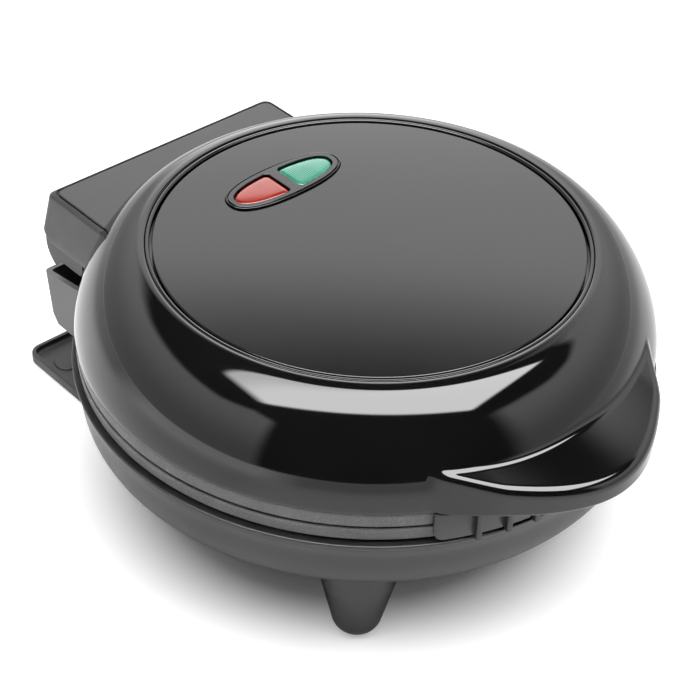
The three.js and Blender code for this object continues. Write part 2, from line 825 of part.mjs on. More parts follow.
function makeFoot([x, y]) {
  const rounding = [];
  for (let i = 0; i <= 3; i += 1) {
    const turn = (Math.PI * i) / 6;
    const radius = footBottomRadius - footRounding + footRounding * Math.sin(turn);
    rounding.push([radius, footRounding * (1 - Math.cos(turn))]);
  }
  const top = bowlFloorZ + footBottomRadius;
  const waist = [footTopRadius, footWaistZ];
  const leg = revolve([[0, 0], ...rounding, waist, [footTopRadius, top], [0, top]], footSides);
  const boreBottom = footScrewSeatZ - footScrewLength - overrun;
  const bore = post(x, y, footScrewRadius + pinGap, boreBottom, top + overrun);
  return cut(leg.translate([x, y, 0]), bowlOuter(looseGap), bore);
}

function makeFootScrew([x, y]) {
  const head = disc(footScrewHeadRadius, 0, footScrewHeadHeight, smallSides);
  const shank = disc(footScrewRadius, -footScrewLength, footScrewHeadHeight / 2, smallSides);
  return join(head, shank).translate([x, y, footScrewSeatZ + seatGap]);
}

// Hinge housing
const housingScrewX = coverScrewX + screwHeadRadius * 2;
const housingScrewZ = housingRearTopZ - screwHeadRadius;
const housingBlockHalf = platePostRadius;
const bowlInnerAtScrew = bowlInnerRadius(housingScrewZ - screwHeadRadius);
const housingScrewSeatY = alongCircle(bowlInnerAtScrew, housingScrewX + screwHeadRadius) - seatGap;

function housingScrewBore(side) {
  const end = housingScrewSeatY + screwLength + overrun;
  return barY(screwBoreRadius, housingScrewSeatY - overrun, end, side * housingScrewX, housingScrewZ);
}

function housingBox(inset, bottom, top) {
  const half = housingHalfWidth - inset;
  const front = housingFrontY + inset;
  const corner = Math.max(housingCorner - inset, housingCorner / 2);
  const lean = (housingRearY - housingHeelY) / (housingRearTopZ - housingHeelZ);
  const rearTop = housingHeelY + lean * (top - housingHeelZ);
  const sections = [[bottom, housingRearBottomY], [housingHeelZ + inset / 2, housingHeelY], [top, rearTop]];
  return loft(sections.map(([z, rear]) => roundedSection(half, front, rear - inset, corner, z)), "x", "y");
}

const earRearY = hingeY - earFromAxis;
const earFrontY = earRearY - earDepth;

function makeHousing() {
  const high = hingeZ;
  const outside = housingBox(0, housingBottomZ, high);
  const inside = housingBox(housingWall, housingBottomZ + housingFloor, high + overrun);
  const [front, rear] = [housingFrontY - overrun, housingRearY + housingCorner];
  const slope = (housingRearTopZ - housingFrontTopZ) / (housingRearY - housingFrontY);
  const lineAt = (y) => housingFrontTopZ + slope * (y - housingFrontY);
  const above = [[front, lineAt(front)], [rear, lineAt(rear)], [rear, high + high], [front, high + high]];
  let housing = cut(outside, inside, slabX(above, -housingHalfWidth - overrun, housingHalfWidth + overrun));
  const floorZ = housingBottomZ + housingFloor / 2;
  for (const side of [-1, 1]) {
    const middle = side * housingScrewX;
    const blockTop = housingScrewZ + housingBlockHalf;
    const [left, right] = [middle - housingBlockHalf, middle + housingBlockHalf];
    const blockRear = housingScrewSeatY + screwLength;
    housing = join(housing, block(left, right, housingFrontY, blockRear, floorZ, blockTop));
    const [near, far] = [side * earX, side * (earX + earThickness)];
    const [x0, x1] = [Math.min(near, far), Math.max(near, far)];
    const earPost = block(x0, x1, earFrontY, earRearY, floorZ, hingeZ);
    housing = join(housing, earPost, barX(earRadius, x0, x1, hingeY, hingeZ));
    housing = cut(housing, barX(hingePinRadius + pinGap, x0 - overrun, x1 + overrun, hingeY, hingeZ));
    const bossTop = housingHeelZ + wrapBossRadius;
    housing = join(housing, post(side * wrapScrewX, wrapScrewY, wrapBossRadius, floorZ, bossTop));
    housing = cut(housing, housingScrewBore(side), wrapScrewBore(side));
  }
  housing = cut(housing, barY(inletRadius + pinGap, hingeY, housingRearY + overrun, 0, inletZ));
  return cut(housing, bowlOuter(looseGap));
}

// Cord wrap plate with its hollow spool core
function wrapScrewBore(side) {
  const top = coreTopZ - coreWall + screwLength + overrun;
  return post(side * wrapScrewX, wrapScrewY, screwBoreRadius, coreTopZ - coreWall - overrun, top);
}

function makeWrapPlate() {
  const sheet = (inset, bottom, top) => {
    const [half, front, rear] = [wrapHalfWidth - inset, wrapFrontY + inset, wrapRearY - inset];
    const section = (z) => roundedSection(half, front, rear, wrapCorner - inset, z);
    return loft([section(bottom), section(top)], "x", "y");
  };
  const core = (inset, bottom, top) => {
    const [half, front, rear] = [coreHalfWidth - inset, coreFrontY + inset, coreRearY - inset];
    const section = (z) => roundedSection(half, front, rear, coreCorner - inset, z);
    return loft([section(bottom), section(top)], "x", "y");
  };
  const rimTop = wrapTopZ + wrapRimHeight;
  let plate = cut(sheet(0, wrapFloorZ, rimTop), sheet(wrapRimWidth, wrapTopZ, rimTop + overrun));
  plate = join(plate, core(0, wrapTopZ - wrapThickness / 2, coreTopZ));
  plate = cut(plate, core(coreWall, wrapFloorZ - overrun, coreTopZ - coreWall));
  for (const side of [-1, 1]) {
    const socketTop = padHeight + seatGap;
    const collarBottom = wrapFloorZ + wrapThickness / 2;
    const collarTop = socketTop + padSocketWall;
    plate = join(plate, post(side * padX, padY, padRadius + padSocketWall, collarBottom, collarTop));
    plate = cut(plate, post(side * padX, padY, padRadius + pinGap, wrapFloorZ - overrun, socketTop));
    plate = cut(plate, wrapScrewBore(side));
  }
  return plate;
}

// Lid hinge cover with its knuckles
function coverBox(inset, bottom, top) {
  const corner = coverCorner - inset;
  const topInset = inset ? inset : coverChamfer;
  const shoulder = top - coverChamfer;
  const topRear = coverTopRearY - inset;
  const lean = (coverRearY - coverTopRearY) / (coverTopZ - coverRearZ);
  const front = coverFrontY;
  const half = coverHalfWidth - inset;
  const bottomRear = coverRearY - coverBottomInset;
  return loft([
    roundedSection(half + coverSideDraft, front, bottomRear - inset, corner, bottom),
    roundedSection(half + coverSideDraft, front, coverRearY - inset, corner, coverRearZ),
    roundedSection(half, front, topRear + lean * coverChamfer, corner, shoulder),
    roundedSection(half + inset - topInset, front, topRear + inset - topInset, corner, top),
  ], "x", "y");
}

function knuckleOutline() {
  const arc = (radius, from, to) => {
    const points = [];
    for (let i = 0; i <= arcSteps; i += 1) {
      const turn = degrees(from + ((to - from) * i) / arcSteps);
      points.push([hingeY + radius * Math.cos(turn), hingeZ + radius * Math.sin(turn)]);
    }
    return points;
  };
  const outer = arc(knuckleRadius, knuckleStartDegrees, knuckleEndDegrees);
  const inner = arc(knuckleRadius - knuckleWall, knuckleEndDegrees, knuckleStartDegrees);
  return { outer, inner };
}

function makeCover() {
  const inside = coverBox(coverWall, coverBottomZ - overrun, coverTopZ - coverWall);
  let cover = cut(coverBox(0, coverBottomZ, coverTopZ), inside);
  const { outer, inner } = knuckleOutline();
  const cheekFrontY = hingeY - knuckleRadius - cheekReach;
  const cheekBottomZ = hingeZ - earRadius;
  const webTopZ = coverTopZ - coverWall / 2;
  const webFrontY = hingeY - knuckleHubRadius;
  const wallY = coverTopRearY - coverWall / 2;
  const cheek = [[cheekFrontY, coverBottomZ + coverBottomInset], [cheekFrontY, cheekBottomZ],
    [hingeY + cheekReach, cheekBottomZ], ...outer, [wallY, webTopZ], [cheekFrontY, webTopZ]];
  const hubRearY = hingeY + knuckleHubRadius;
  const web = [[webFrontY, hingeZ], [hubRearY, hingeZ], [wallY, webTopZ], [webFrontY, webTopZ]];
  const cheekInnerX = outerKnuckleHalfWidth - knuckleWall;
  for (const side of [-1, 1]) {
    const along = (from, to) => [Math.min(side * from, side * to), Math.max(side * from, side * to)];
    const outerRange = along(outerKnuckleX, outerKnuckleHalfWidth);
    const innerRange = along(innerKnuckleX, innerKnuckleX + innerKnuckleLength);
    const webRange = along(innerKnuckleX, innerKnuckleX + knuckleWall);
    const cheekRange = along(cheekInnerX, outerKnuckleHalfWidth);
    cover = join(cover, slabX(cheek, ...cheekRange), slabX(web, ...webRange));
    for (const range of [outerRange, innerRange]) {
      const hub = barX(knuckleHubRadius, ...range, hingeY, hingeZ);
      cover = join(cover, hub, slabX([...outer, ...inner], ...range));
    }
    const boreRange = along(innerKnuckleX - overrun, cheekInnerX);
    cover = cut(cover, barX(hingePinRadius + pinGap, ...boreRange, hingeY, hingeZ));
    const boss = block(...along(coverScrewX - platePostRadius, coverScrewX + platePostRadius),
      lidCrownRadius, wallY, coverScrewZ - platePostRadius, webTopZ);
    cover = cut(join(cover, boss), coverScrewBore(side));
  }
  return cut(cover, ringOffset);
}

function makePin(side) {
  const [start, end] = [innerKnuckleX - seatGap, outerKnuckleHalfWidth - knuckleWall - seatGap];
  const headEnd = start - knuckleWall / 2;
  const along = (from, to) => [Math.min(side * from, side * to), Math.max(side * from, side * to)];
  const shaft = barX(hingePinRadius, ...along(headEnd, end), hingeY, hingeZ);
  return join(shaft, barX(hingePinRadius + hingePinHead, ...along(headEnd, start), hingeY, hingeZ));
}

// Ribbed skirt under the handle
function sector(halfAngle, bottom, top) {
  const reach = bowlRimRadius * 2;
  const [x, y] = [reach * Math.sin(degrees(halfAngle)), -reach * Math.cos(degrees(halfAngle))];
  const section = (z) => [[0, 0], [-x, y], [x, y]].map(([px, py]) => new THREE.Vector3(px, py, z));
  return loft([section(bottom), section(top)], "x", "y");
}

function makeSkirt() {
  const outerRadius = skirtInnerRadius + skirtThickness;
  const collarZ = lidRimZ - seatGap;
  const ribRadius = outerRadius + skirtRibDepth;
  const cornerAngle = (skirtCorner / skirtInnerRadius) * (180 / Math.PI);
  const wall = annulus(skirtInnerRadius, outerRadius, skirtBottomZ, skirtTopZ, roundSteps * 2);
  const cornerTurn = degrees(skirtHalfDegrees - cornerAngle);
  const cornerZ = skirtBottomZ + skirtCorner;
  let skirt = join(
    wall.intersect(sector(skirtHalfDegrees, cornerZ, collarZ)),
    wall.intersect(sector(skirtHalfDegrees - cornerAngle, skirtBottomZ, collarZ)),
    wall.intersect(sector(skirtTopHalfDegrees, skirtBottomZ, skirtTopZ)),
  );
  for (const side of [-1, 1]) {
    const round = barY(skirtCorner, -ribRadius, -lidCrownRadius, 0, cornerZ);
    const turned = round.rotate([0, 0, side * THREE.MathUtils.radToDeg(cornerTurn)]);
    skirt = join(skirt, wall.intersect(turned));
  }
  const ribInner = outerRadius - skirtThickness / 2;
  const ribs = annulus(ribInner, ribRadius, skirtBottomZ - skirtRibDrop, collarZ, roundSteps * 2);
  const firstRib = -(skirtRibCount - 1) / 2;
  for (let i = 0; i < skirtRibCount; i += 1) {
    const x = (firstRib + i) * skirtRibPitch;
    const [left, right] = [x - skirtRibWidth / 2, x + skirtRibWidth / 2];
    const strip = block(left, right, -ribRadius - overrun, -lidCrownRadius, 0, lidCrownZ);
    skirt = join(skirt, ribs.intersect(strip));
  }
  return skirt;
}

// Heating elements, reflectors and control parts
const lowerElementZ = lowerTubBottomZ - seatGap - elementTubeRadius;
const upperElementZ = upperTubTopZ + seatGap + elementTubeRadius;
const elementTailX = elementRadius * Math.sin(degrees(elementOpenDegrees / 2));
const elementTailY = elementRadius * Math.cos(degrees(elementOpenDegrees / 2)) + elementTailLength;

function makeElement(z) {
  const points = [[elementTailX, elementTailY, z]];
  const count = arcSteps * 2;
  for (let i = 0; i <= count; i += 1) {
    const turn = degrees(90 - elementOpenDegrees / 2 - ((360 - elementOpenDegrees) * i) / count);
    points.push([elementRadius * Math.cos(turn), elementRadius * Math.sin(turn), z]);
  }
  points.push([-elementTailX, elementTailY, z]);
  return tube(points, elementTubeRadius, elementSides, elementSteps);
}

function makeReflector(elementZ, away) {
  const sheetZ = elementZ + away * (elementTubeRadius + seatGap);
  const backZ = sheetZ + away * reflectorThickness;
  const lipZ = backZ + away * reflectorLip;
  const innerRadius = elementRadius - reflectorInnerReach;
  const outerRadius = elementRadius + reflectorOuterReach;
  const ring = (inner, outer, from, to) =>
    annulus(inner, outer, Math.min(from, to), Math.max(from, to), reflectorSteps);
  const sheet = ring(innerRadius, outerRadius, sheetZ, backZ);
  const innerLip = ring(innerRadius, innerRadius + reflectorThickness, sheetZ, lipZ);
  const outerLip = ring(outerRadius - reflectorThickness, outerRadius, sheetZ, lipZ);
  return join(sheet, innerLip, outerLip);
}

function makeThermostat() {
  const top = lowerTubBottomZ - seatGap;
  const bottom = top - thermostatHeight;
  const reach = thermostatRadius + thermostatTagLength;
  const tagZ = bottom + thermostatTagHeight;
  const [left, right] = [thermostatX - thermostatTagWidth / 2, thermostatX + thermostatTagWidth / 2];
  const can = post(thermostatX, 0, thermostatRadius, bottom, top, smallSides * 2);
  const cap = post(thermostatX, 0, thermostatRadius / 2, bottom - thermostatTagHeight, top);
  return join(can, cap, block(left, right, -reach, reach, tagZ, tagZ + thermostatTagHeight));
}

function makeFuse() {
  const z = lowerTubBottomZ - seatGap - fuseRadius;
  const barrel = barY(fuseRadius, -fuseLength / 2, fuseLength / 2, fuseX, z);
  return join(barrel, barY(fuseRadius / 3, -fuseLength, fuseLength, fuseX, z, smallSides / 2));
}

const terminalBottomZ = bowlFloorZ + seatGap * 2;
const terminalTopZ = terminalBottomZ + terminalHeight;
const terminalFrontY = terminalY - terminalWidth / 2;
const terminalRearY = terminalY + terminalWidth / 2;

function makeTerminalBlock() {
  const [left, right] = [-terminalHalfLength, terminalHalfLength];
  let body = block(left, right, terminalFrontY, terminalRearY, terminalBottomZ, terminalTopZ);
  const pitch = (terminalHalfLength * 2) / terminalWayCount;
  for (let i = 0; i < terminalWayCount; i += 1) {
    const x = left + pitch * (i + 1 / 2);
    const wayBottom = terminalBottomZ + terminalWayFloor;
    body = cut(body, post(x, terminalY, terminalWayRadius, wayBottom, terminalTopZ + overrun));
  }
  return body;
}

// Leads
const axisEnd = seatGap / 2;
const lowerWindowMiddleZ = lowerWindowZ + windowHeight / 2;
const upperWindowMiddleZ = upperWindowZ + windowHeight / 2;
const tubRearY = pocketRadius + plateWall + sleeveRadius * 2;

function makeBaseSleeve() {
  const wallY = bowlWallRadius;
  const points = [
    [-axisEnd, hingeY, hingeZ],
    [-sleeveAxisLength, hingeY, hingeZ],
    [-sleeveX, hingeY - sleeveRadius, hingeZ - sleeveRadius * 2],
    [-sleeveX, wallY + sleeveRadius * 2, lowerWindowMiddleZ + sleeveRadius * 2],
    [-sleeveX, wallY, lowerWindowMiddleZ],
    [-sleeveX, wallY - sleeveRadius * 3, lowerWindowMiddleZ - sleeveRadius],
    [-sleeveX + sleeveRadius, terminalRearY + sleeveRadius, terminalBottomZ + terminalHeight / 2],
    [-sleeveX + sleeveRadius, terminalRearY + seatGap, terminalBottomZ + terminalHeight / 2],
  ];
  return tube(points, sleeveRadius, elementSides, wireSteps * 2);
}

function makeLidSleeve() {
  const wallY = lidRimRadius - lidWall / 2;
  const points = [
    [axisEnd, hingeY, hingeZ],
    [sleeveAxisLength, hingeY, hingeZ],
    [sleeveX, hingeY - sleeveRadius / 2, hingeZ + sleeveRadius * 2],
    [sleeveX, wallY + sleeveRadius * 2, upperWindowMiddleZ - sleeveRadius],
    [sleeveX, wallY - sleeveRadius, upperWindowMiddleZ],
    [sleeveX, tubRearY, upperWindowMiddleZ],
  ];
  return tube(points, sleeveRadius, elementSides, wireSteps * 2);
}

function makeSupplyCord() {
  const points = [
    [0, housingHeelY - inletNeckLength, inletZ],
    [0, hingeY - sleeveRadius, inletZ + seatGap],
    [0, bowlWallRadius + sleeveRadius, lowerWindowMiddleZ - sleeveRadius],
    [0, bowlWallRadius - sleeveRadius, lowerWindowMiddleZ],
    [0, bowlWallRadius - sleeveRadius * 4, lowerWindowMiddleZ - sleeveRadius],
    [0, terminalRearY + sleeveRadius, terminalBottomZ + terminalHeight / 2],
    [0, terminalRearY + seatGap, terminalBottomZ + terminalHeight / 2],
  ];
  return tube(points, sleeveRadius, elementSides, wireSteps * 2);
}

function makeLowerLead(side) {
  const x = side * elementTailX;
  const endX = (side * terminalHalfLength * 2) / terminalWayCount;
  const endZ = terminalTopZ + seatGap;
  const liftZ = lowerTubBottomZ - seatGap - leadRadius * 2;
  return tube([[x, elementTailY + seatGap, lowerElementZ], [x, terminalFrontY, lowerElementZ],
    [(x + endX) / 2, terminalY - leadRadius * 2, liftZ], [endX, terminalY, liftZ - leadRadius],
    [endX, terminalY, endZ]], leadRadius);
}

function makeUpperLead(side) {
  const startX = sleeveX + (side * leadSpacing) / 2;
  const startY = tubRearY - seatGap;
  const x = side * elementTailX;
  const overZ = upperTubTopZ + leadRadius * 2;
  return tube([[startX, startY, upperWindowMiddleZ], [startX, startY - leadRadius, upperWindowMiddleZ],
    [startX, startY - leadRadius * 2, upperWindowMiddleZ + leadRadius * 2],
    [startX, startY - leadRadius * 4, overZ],
    [(startX + x) / 2, elementTailY + elementTailLength, upperElementZ],
    [x, elementTailY + leadRadius * 4, upperElementZ],
    [x, elementTailY + seatGap, upperElementZ]], leadRadius);
}

function makeInlet() {
  const lean = (housingRearY - housingHeelY) / (housingRearTopZ - housingHeelZ);
  const flangeStart = housingHeelY + lean * (inletZ + inletFlangeRadius - housingHeelZ) + seatGap;
  const flangeEnd = flangeStart + inletFlange;
  const flange = barY(inletFlangeRadius, flangeStart, flangeEnd, 0, inletZ, smallSides * 2);
  const neckStart = housingHeelY - inletNeckLength + seatGap;
  const neck = barY(inletRadius, neckStart, flangeEnd, 0, inletZ, smallSides * 2);
  const boreStart = neckStart - overrun;
  const bore = barY(inletBoreRadius, boreStart, flangeEnd + overrun, 0, inletZ, smallSides * 2);
  return cut(join(flange, neck), bore);
}

// Finishes, in the colours of the real piece
function finish(color, roughness, metalness = 0) {
  return new THREE.MeshStandardMaterial({ color, roughness, metalness });
}

const glossBlack = finish(0x1b1b1c, 0.12);
const panelBlack = finish(0x26262a, 0.1);
const satinBlack = finish(0x2a2a2b, 0.45);
const coatedPlate = finish(0x3a3a3c, 0.6, 0.4);
const steel = finish(0xb8b8b8, 0.3, 1);
const sheathedElement = finish(0x55504a, 0.5, 0.9);
const rubber = finish(0x161616, 0.85);
const redLens = finish(0xd8412f, 0.15);
const greenLens = finish(0x2fb89a, 0.15);
const neonGlass = finish(0xf0d8b8, 0.05);
const ceramic = finish(0xe8e2d4, 0.6);
const glassSleeve = finish(0xd9d2c0, 0.9);
const redLead = finish(0x8a2b20, 0.6);

const part = new THREE.Group();

function place(name, made, material) {
  const mesh = new THREE.Mesh(geometryOf(made), material);
  mesh.name = name;
  part.add(mesh);
}

const sideNames = [["left", -1], ["right", 1]];

place("base_shell", makeBaseShell(), satinBlack);
place("hinge_housing", makeHousing(), satinBlack);
place("cord_wrap_plate", makeWrapPlate(), satinBlack);
place("cord_inlet_bush", makeInlet(), rubber);
const lowerPlate = makePlate(lowerPlateRadius, lowerPlateTopZ, lowerPlateZ, lowerPocketDepth);
place("lower_plate", lowerPlate, coatedPlate);
place("lower_heating_element", makeElement(lowerElementZ), sheathedElement);
place("lower_reflector", makeReflector(lowerElementZ, -1), steel);
place("thermostat", makeThermostat(), ceramic);
place("thermal_fuse", makeFuse(), glassSleeve);
place("terminal_block", makeTerminalBlock(), ceramic);
place("supply_cord_inner", makeSupplyCord(), rubber);
place("base_lead_sleeve", makeBaseSleeve(), glassSleeve);

place("lid_shell", makeLidShell(), glossBlack);
place("lid_panel", makePanel(), panelBlack);
place("light_bezel", makeBezel(), satinBlack);
place("lamp_holder", makeLampHolder(), satinBlack);
const upperPlate = makePlate(upperPlateRadius, upperPlateZ, upperPlateTopZ, upperPocketDepth);
place("upper_plate", upperPlate, coatedPlate);
place("upper_heating_element", makeElement(upperElementZ), sheathedElement);
place("upper_reflector", makeReflector(upperElementZ, 1), steel);
place("lid_hinge_cover", makeCover(), satinBlack);
place("handle_skirt", makeSkirt(), satinBlack);
place("lid_lead_sleeve", makeLidSleeve(), glassSleeve);
place("red_lens", makeLens(-1), redLens);
place("green_lens", makeLens(1), greenLens);
place("power_lamp", makeLamp(-1), neonGlass);
place("ready_lamp", makeLamp(1), neonGlass);

for (const [name, side] of sideNames) {
  place(`hinge_pin_${name}`, makePin(side), steel);
  const pad = post(side * padX, padY, padRadius, 0, padHeight);
  place(`rear_pad_${name}`, pad, rubber);
  const wrapScrewZ = coreTopZ - coreWall - seatGap;
  const wrapScrew = screw(screwLength).translate([side * wrapScrewX, wrapScrewY, wrapScrewZ]);
  place(`wrap_plate_screw_${name}`, wrapScrew, steel);
  const housingScrew = screw(screwLength).rotate([-90, 0, 0]);
  const housingSeat = [side * housingScrewX, housingScrewSeatY, housingScrewZ];
  place(`housing_screw_${name}`, housingScrew.translate(housingSeat), steel);
  const coverScrew = screw(coverScrewLength).rotate([-90, 0, 0]);
  const coverSeat = [side * coverScrewX, coverScrewSeatY, coverScrewZ];
  place(`cover_screw_${name}`, coverScrew.translate(coverSeat), steel);
  place(`lower_lead_${name}`, makeLowerLead(side), redLead);
  place(`upper_lead_${name}`, makeUpperLead(side), redLead);
}

footPlaces.forEach((spot, i) => {
  place(`front_foot_${sideNames[i][0]}`, makeFoot(spot), satinBlack);
  place(`foot_screw_${sideNames[i][0]}`, makeFootScrew(spot), steel);
});

postPlaces.forEach(([x, y], i) => {
  const shortScrew = screw(plateScrewLength);
  place(`base_screw_${i + 1}`, shortScrew.translate([x, y, bowlBottomZ - seatGap]), steel);
  const headZ = ledgeBottomZ + screwEarThickness + seatGap;
  place(`lid_screw_${i + 1}`, shortScrew.rotate([180, 0, 0]).translate([x, y, headZ]), steel);
});

const box = new THREE.Box3().setFromObject(part);
part.position.set(-(box.min.x + box.max.x) / 2, -(box.min.y + box.max.y) / 2, -box.min.z);

export default part;
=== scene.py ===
"""Looks of the omelette maker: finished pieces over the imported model, its studio and its camera."""
import json
import math

import bmesh
import bpy
import numpy as np
from mathutils import Matrix, Vector


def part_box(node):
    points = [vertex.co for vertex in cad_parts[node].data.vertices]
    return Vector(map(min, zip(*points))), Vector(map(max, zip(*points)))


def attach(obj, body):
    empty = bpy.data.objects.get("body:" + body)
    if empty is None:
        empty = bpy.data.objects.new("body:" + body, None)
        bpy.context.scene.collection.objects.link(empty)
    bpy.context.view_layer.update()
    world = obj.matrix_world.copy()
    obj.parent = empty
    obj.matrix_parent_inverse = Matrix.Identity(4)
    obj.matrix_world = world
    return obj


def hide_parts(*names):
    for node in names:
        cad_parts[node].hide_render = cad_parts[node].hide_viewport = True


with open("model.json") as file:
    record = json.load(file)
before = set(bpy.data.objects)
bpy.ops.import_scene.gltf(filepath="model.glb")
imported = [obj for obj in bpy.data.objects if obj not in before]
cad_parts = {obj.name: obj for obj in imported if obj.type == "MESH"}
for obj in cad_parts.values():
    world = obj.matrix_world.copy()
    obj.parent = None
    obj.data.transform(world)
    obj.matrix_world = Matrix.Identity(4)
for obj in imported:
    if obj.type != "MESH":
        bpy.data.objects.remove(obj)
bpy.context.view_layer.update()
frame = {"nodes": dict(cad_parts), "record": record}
scene = bpy.context.scene

MM = 0.001
panel_low, panel_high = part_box("lid_panel")
AXIS_Y = (panel_low.y + panel_high.y) / 2

# ---------------------------------------------------------------- camera
# Every place below is in millimetres about the plates' upright axis, on the floor, +Y towards the hinge.
view_right = Vector((0.7413, -0.6703, 0.0344))
view_up = Vector((0.4005, 0.4829, 0.7788))
view_back = Vector((-0.5386, -0.5635, 0.6264))
lens_place = Vector((-354.5, -363.7, 460.8)) * MM + Vector((0, AXIS_Y, 0))

camera_data = bpy.data.cameras.new("photo_camera")
camera_data.lens = 97.13
camera_data.sensor_width = 36
camera_data.clip_start = 0.01
camera = bpy.data.objects.new("photo_camera", camera_data)
turn = Matrix((view_right, view_up, view_back)).transposed()
camera.matrix_world = Matrix.Translation(lens_place) @ turn.to_4x4()
scene.collection.objects.link(camera)
scene.camera = camera
scene.view_settings.view_transform = "Standard"


# ---------------------------------------------------------------- node helpers
class Wiring:
    """Adds nodes to a tree and joins them, taking either numbers or sockets."""

    def __init__(self, tree):
        self.tree = tree

    def add(self, kind, inputs=None, **settings):
        """A new node, its inputs given by name or number."""
        node = self.tree.nodes.new(kind)
        for key, value in settings.items():
            setattr(node, key, value)
        for key, value in (inputs or {}).items():
            self.feed(node.inputs[key], value)
        return node

    def feed(self, socket, value):
        if isinstance(value, bpy.types.NodeSocket):
            self.tree.links.new(value, socket)
        else:
            socket.default_value = value

    def math(self, operation, *values):
        return self.add("ShaderNodeMath", dict(enumerate(values)), operation=operation).outputs[0]

    def ramp(self, value, start, end, low=0.0, high=1.0, smooth=True):
        """low at start and before, high at end and after."""
        return self.add("ShaderNodeMapRange", dict(enumerate((value, start, end, low, high))),
                        interpolation_type="SMOOTHSTEP" if smooth else "LINEAR").outputs[0]

    def stops(self, value, places):
        """A scale through (place, level) pairs, where a level is a grey or a colour."""
        node = self.add("ShaderNodeValToRGB", {0: value})
        elements = node.color_ramp.elements
        for i, (place, level) in enumerate(places):
            element = elements[i] if i < 2 else elements.new(place)
            element.position = place
            colour = level if isinstance(level, tuple) else (level, level, level)
            element.color = (*colour, 1)
        return node.outputs[0]

    def product(self, *values):
        result = values[0]
        for value in values[1:]:
            result = self.math("MULTIPLY", result, value)
        return result

    def total(self, *values):
        result = values[0]
        for value in values[1:]:
            result = self.math("ADD", result, value)
        return result

    def parted(self, vector):
        """The x, y and z of a vector."""
        return self.add("ShaderNodeSeparateXYZ", {0: vector}).outputs

    def reach(self, x, y):
        """How far (x, y) lies from the middle."""
        return self.math("SQRT", self.total(self.product(x, x), self.product(y, y)))


# ---------------------------------------------------------------- studio
TURN = 2 * math.pi
DIFFUSE_SHARE = 0.25        # how much of the studio's light reaches matt surfaces
BACKDROP_LEVEL = 1.3        # what the camera sees behind the object
SHADOW_LEVEL = 0.04         # the darkest part of the studio, in front
GROUND_LEVEL = 1.6
VIEW_X, VIEW_Y = 0.742, 0.67
# The box of light hangs over the object. Each pair runs from unlit to lit, on a ceiling one unit up.
BOX_LEFT, BOX_RIGHT = (-0.78, -0.62), (0.78, 0.7)
BOX_NEAR, BOX_FAR = (-0.64, -0.56), (0.335, 0.265)
BOX_CORNER, BOX_LOW = (0.51, 0.43), (0.3, 0.4)


def compass(degrees):
    """Degrees clockwise from the hinge side, as a share of the whole turn."""
    return degrees / 360 + 0.5


def bearing(wires, x, y):
    """The direction of (x, y) on compass's scale."""
    return wires.total(wires.product(wires.math("ARCTAN2", x, y), 1 / TURN), 0.5)


def round_stops(wires, around, *places):
    """A grey scale through (degrees, level) pairs."""
    return wires.stops(around, [(compass(degrees), level) for degrees, level in places])


def sector(wires, around, start, full, fading, end):
    """1 between full and fading degrees, 0 beyond start and end."""
    return wires.product(wires.ramp(around, compass(start), compass(full)),
                         wires.ramp(around, compass(end), compass(fading)))


def studio_light(wires, direction):
    """What a mirror would see of the studio: a large box of light overhead, pale walls, a dark front."""
    x, y, z = wires.parted(direction)
    high = wires.math("MAXIMUM", z, 0.02)
    ceiling_x, ceiling_y = wires.math("DIVIDE", x, high), wires.math("DIVIDE", y, high)
    across = wires.total(wires.product(ceiling_x, VIEW_X), wires.product(ceiling_y, -VIEW_Y))
    away = wires.total(wires.product(ceiling_x, VIEW_Y), wires.product(ceiling_y, VIEW_X))
    corner = wires.total(away, wires.product(across, -0.763))
    overhead = wires.product(
        wires.ramp(across, *BOX_LEFT), wires.ramp(across, *BOX_RIGHT),
        wires.ramp(away, *BOX_NEAR), wires.ramp(away, *BOX_FAR),
        wires.ramp(corner, *BOX_CORNER), wires.ramp(z, *BOX_LOW),
        wires.ramp(corner, 0.05, 0.42, 17.5, 12.0))
    around = bearing(wires, x, y)
    lift = wires.product(wires.math("ARCSINE", z), 2 / math.pi)
    top = round_stops(
        wires, around, (-110, 0.36), (-90, 0.42), (-75, 0.385), (-20, 0.39), (10, 0.43), (32, 0.424),
        (52, 0.424), (66, 0.54), (92, 0.53), (106, 0.45), (122, 0.39), (136, 0.385), (150, 0.41))
    soft = round_stops(
        wires, around, (-60, 0.025), (0, 0.05), (32, 0.03), (52, 0.03), (67, 0.13), (84, 0.03))
    below = wires.math("DIVIDE", wires.math("SUBTRACT", top, lift), soft)
    warm = wires.product(sector(wires, around, 20, 36, 42, 58), wires.ramp(lift, 0.38, 0.3), 2.6)
    glowing = wires.product(sector(wires, around, 22, 36, 50, 64), wires.ramp(lift, 0.43, 0.4), 0.75)
    wall = wires.product(wires.ramp(below, -1.0, 1.0), sector(wires, around, -103, -97, 160, 172),
                         wires.total(wires.ramp(lift, 0.05, 0.38, 1.0, 2.1), warm, glowing))
    ground = wires.product(wires.ramp(z, 0.0, -0.02), GROUND_LEVEL)
    return wires.math("MAXIMUM", wires.total(overhead, wall, SHADOW_LEVEL), ground)


